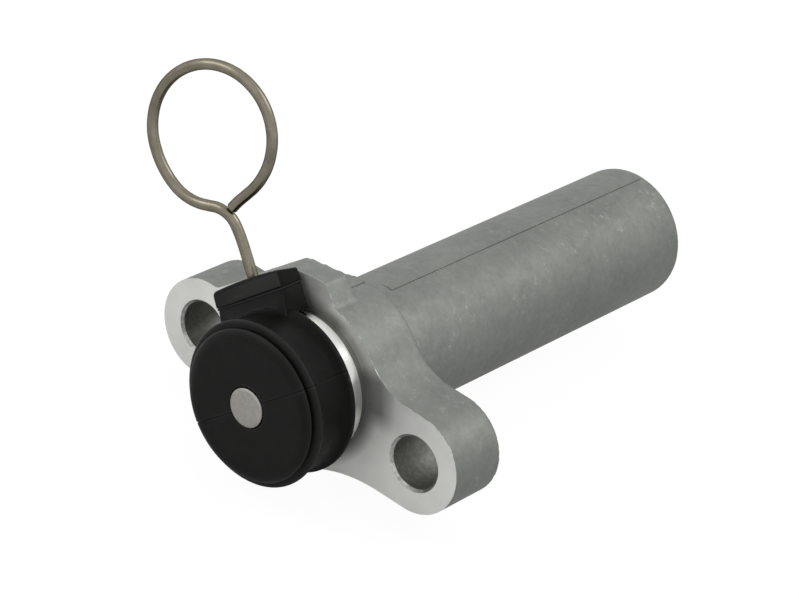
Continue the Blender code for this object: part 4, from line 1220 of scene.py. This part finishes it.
# %% [markdown]
# The studio is white all round. What the camera and the reflections see is white at strength 1,
# while the light that falls on dull surfaces is a little lower. A Light Path node tells them
# apart, so the background gets white without more light on the piece.

# %% White world
DULL_LIGHT = 0.6


def white_world():
    world = bpy.data.worlds.new("studio")
    bpy.context.scene.world = world
    world.use_nodes = True
    tree = world.node_tree
    background = tree.nodes["Background"]
    background.inputs["Color"].default_value = (1, 1, 1, 1)
    path = tree.nodes.new("ShaderNodeLightPath").outputs
    seen = operate(tree, "MAXIMUM", path["Is Camera Ray"], path["Is Glossy Ray"])
    clear = operate(tree, "MAXIMUM", seen, path["Is Transmission Ray"])
    strength = tree.nodes.new("ShaderNodeMapRange")
    strength.inputs["To Min"].default_value = DULL_LIGHT
    strength.inputs["To Max"].default_value = 1.0
    tree.links.new(clear, strength.inputs["Value"])
    tree.links.new(strength.outputs["Result"], background.inputs["Strength"])


white_world()
print("world", bpy.context.scene.world.name)

# %% [markdown]
# Two large soft lamps add shape from above, one behind the barrel and one in front on the left.

# %% Lamps
LAMP_SIZE = 0.5
LAMP_POWER = 1.2
LAMP_AIM = (0, 0.03, 0)


def lamp(name, place):
    data = bpy.data.lights.new(name, "AREA")
    data.shape = "DISK"
    data.size = LAMP_SIZE
    data.energy = LAMP_POWER
    made = bpy.data.objects.new(name, data)
    bpy.context.scene.collection.objects.link(made)
    made.location = place
    aim = Vector(LAMP_AIM) - Vector(place)
    made.rotation_euler = aim.to_track_quat("-Z", "Y").to_euler()


lamp("key_lamp", (0.42, 0.42, 0.7))
lamp("front_lamp", (-0.45, -0.5, 0.6))
print("lamps", len(bpy.data.lights))

# %% [markdown]
# The floor is a matte white plane that keeps a faint shadow. For the camera it glows a little, so
# that it runs into the background without a line. Metal mirrors a tenth of that glow, which
# leaves the undersides of the piece grey, as they are on a real table.

# %% Pale floor
FLOOR_SIZE = 6
FLOOR_HEIGHT = -17 * MM
FLOOR_WHITE = 0.85
FLOOR_GLOW = 1.06
GLOW_SHARE = 0.9
MIRRORED_SHARE = 0.1


def floor_paint():
    paint = bpy.data.materials.new("floor_white")
    paint.use_nodes = True
    tree = paint.node_tree
    shader = tree.nodes["Principled BSDF"]
    shader.inputs["Base Color"].default_value = (*grey(FLOOR_WHITE), 1)
    shader.inputs["Roughness"].default_value = 0.9
    shader.inputs["Specular IOR Level"].default_value = 0.0
    glow = tree.nodes.new("ShaderNodeEmission")
    glow.inputs["Color"].default_value = (1, 1, 1, 1)
    glow.inputs["Strength"].default_value = FLOOR_GLOW
    path = tree.nodes.new("ShaderNodeLightPath").outputs
    mirrored_ray = operate(tree, "MULTIPLY", path["Is Glossy Ray"], MIRRORED_SHARE)
    seen = operate(tree, "MAXIMUM", path["Is Camera Ray"], mirrored_ray)
    share = tree.nodes.new("ShaderNodeMapRange")
    share.inputs["To Max"].default_value = GLOW_SHARE
    blend = tree.nodes.new("ShaderNodeMixShader")
    tree.links.new(seen, share.inputs["Value"])
    tree.links.new(share.outputs["Result"], blend.inputs["Fac"])
    tree.links.new(shader.outputs["BSDF"], blend.inputs[1])
    tree.links.new(glow.outputs["Emission"], blend.inputs[2])
    tree.links.new(blend.outputs["Shader"], tree.nodes["Material Output"].inputs["Surface"])
    return paint


def pale_floor():
    bpy.ops.object.select_all(action="DESELECT")
    bpy.ops.mesh.primitive_plane_add(size=FLOOR_SIZE, location=(0, 0, FLOOR_HEIGHT))
    floor = bpy.context.object
    floor.name = "floor"
    floor.data.materials.append(floor_paint())


pale_floor()
bpy.context.scene.view_settings.view_transform = "Standard"
print("floor at", FLOOR_HEIGHT / MM, "mm")
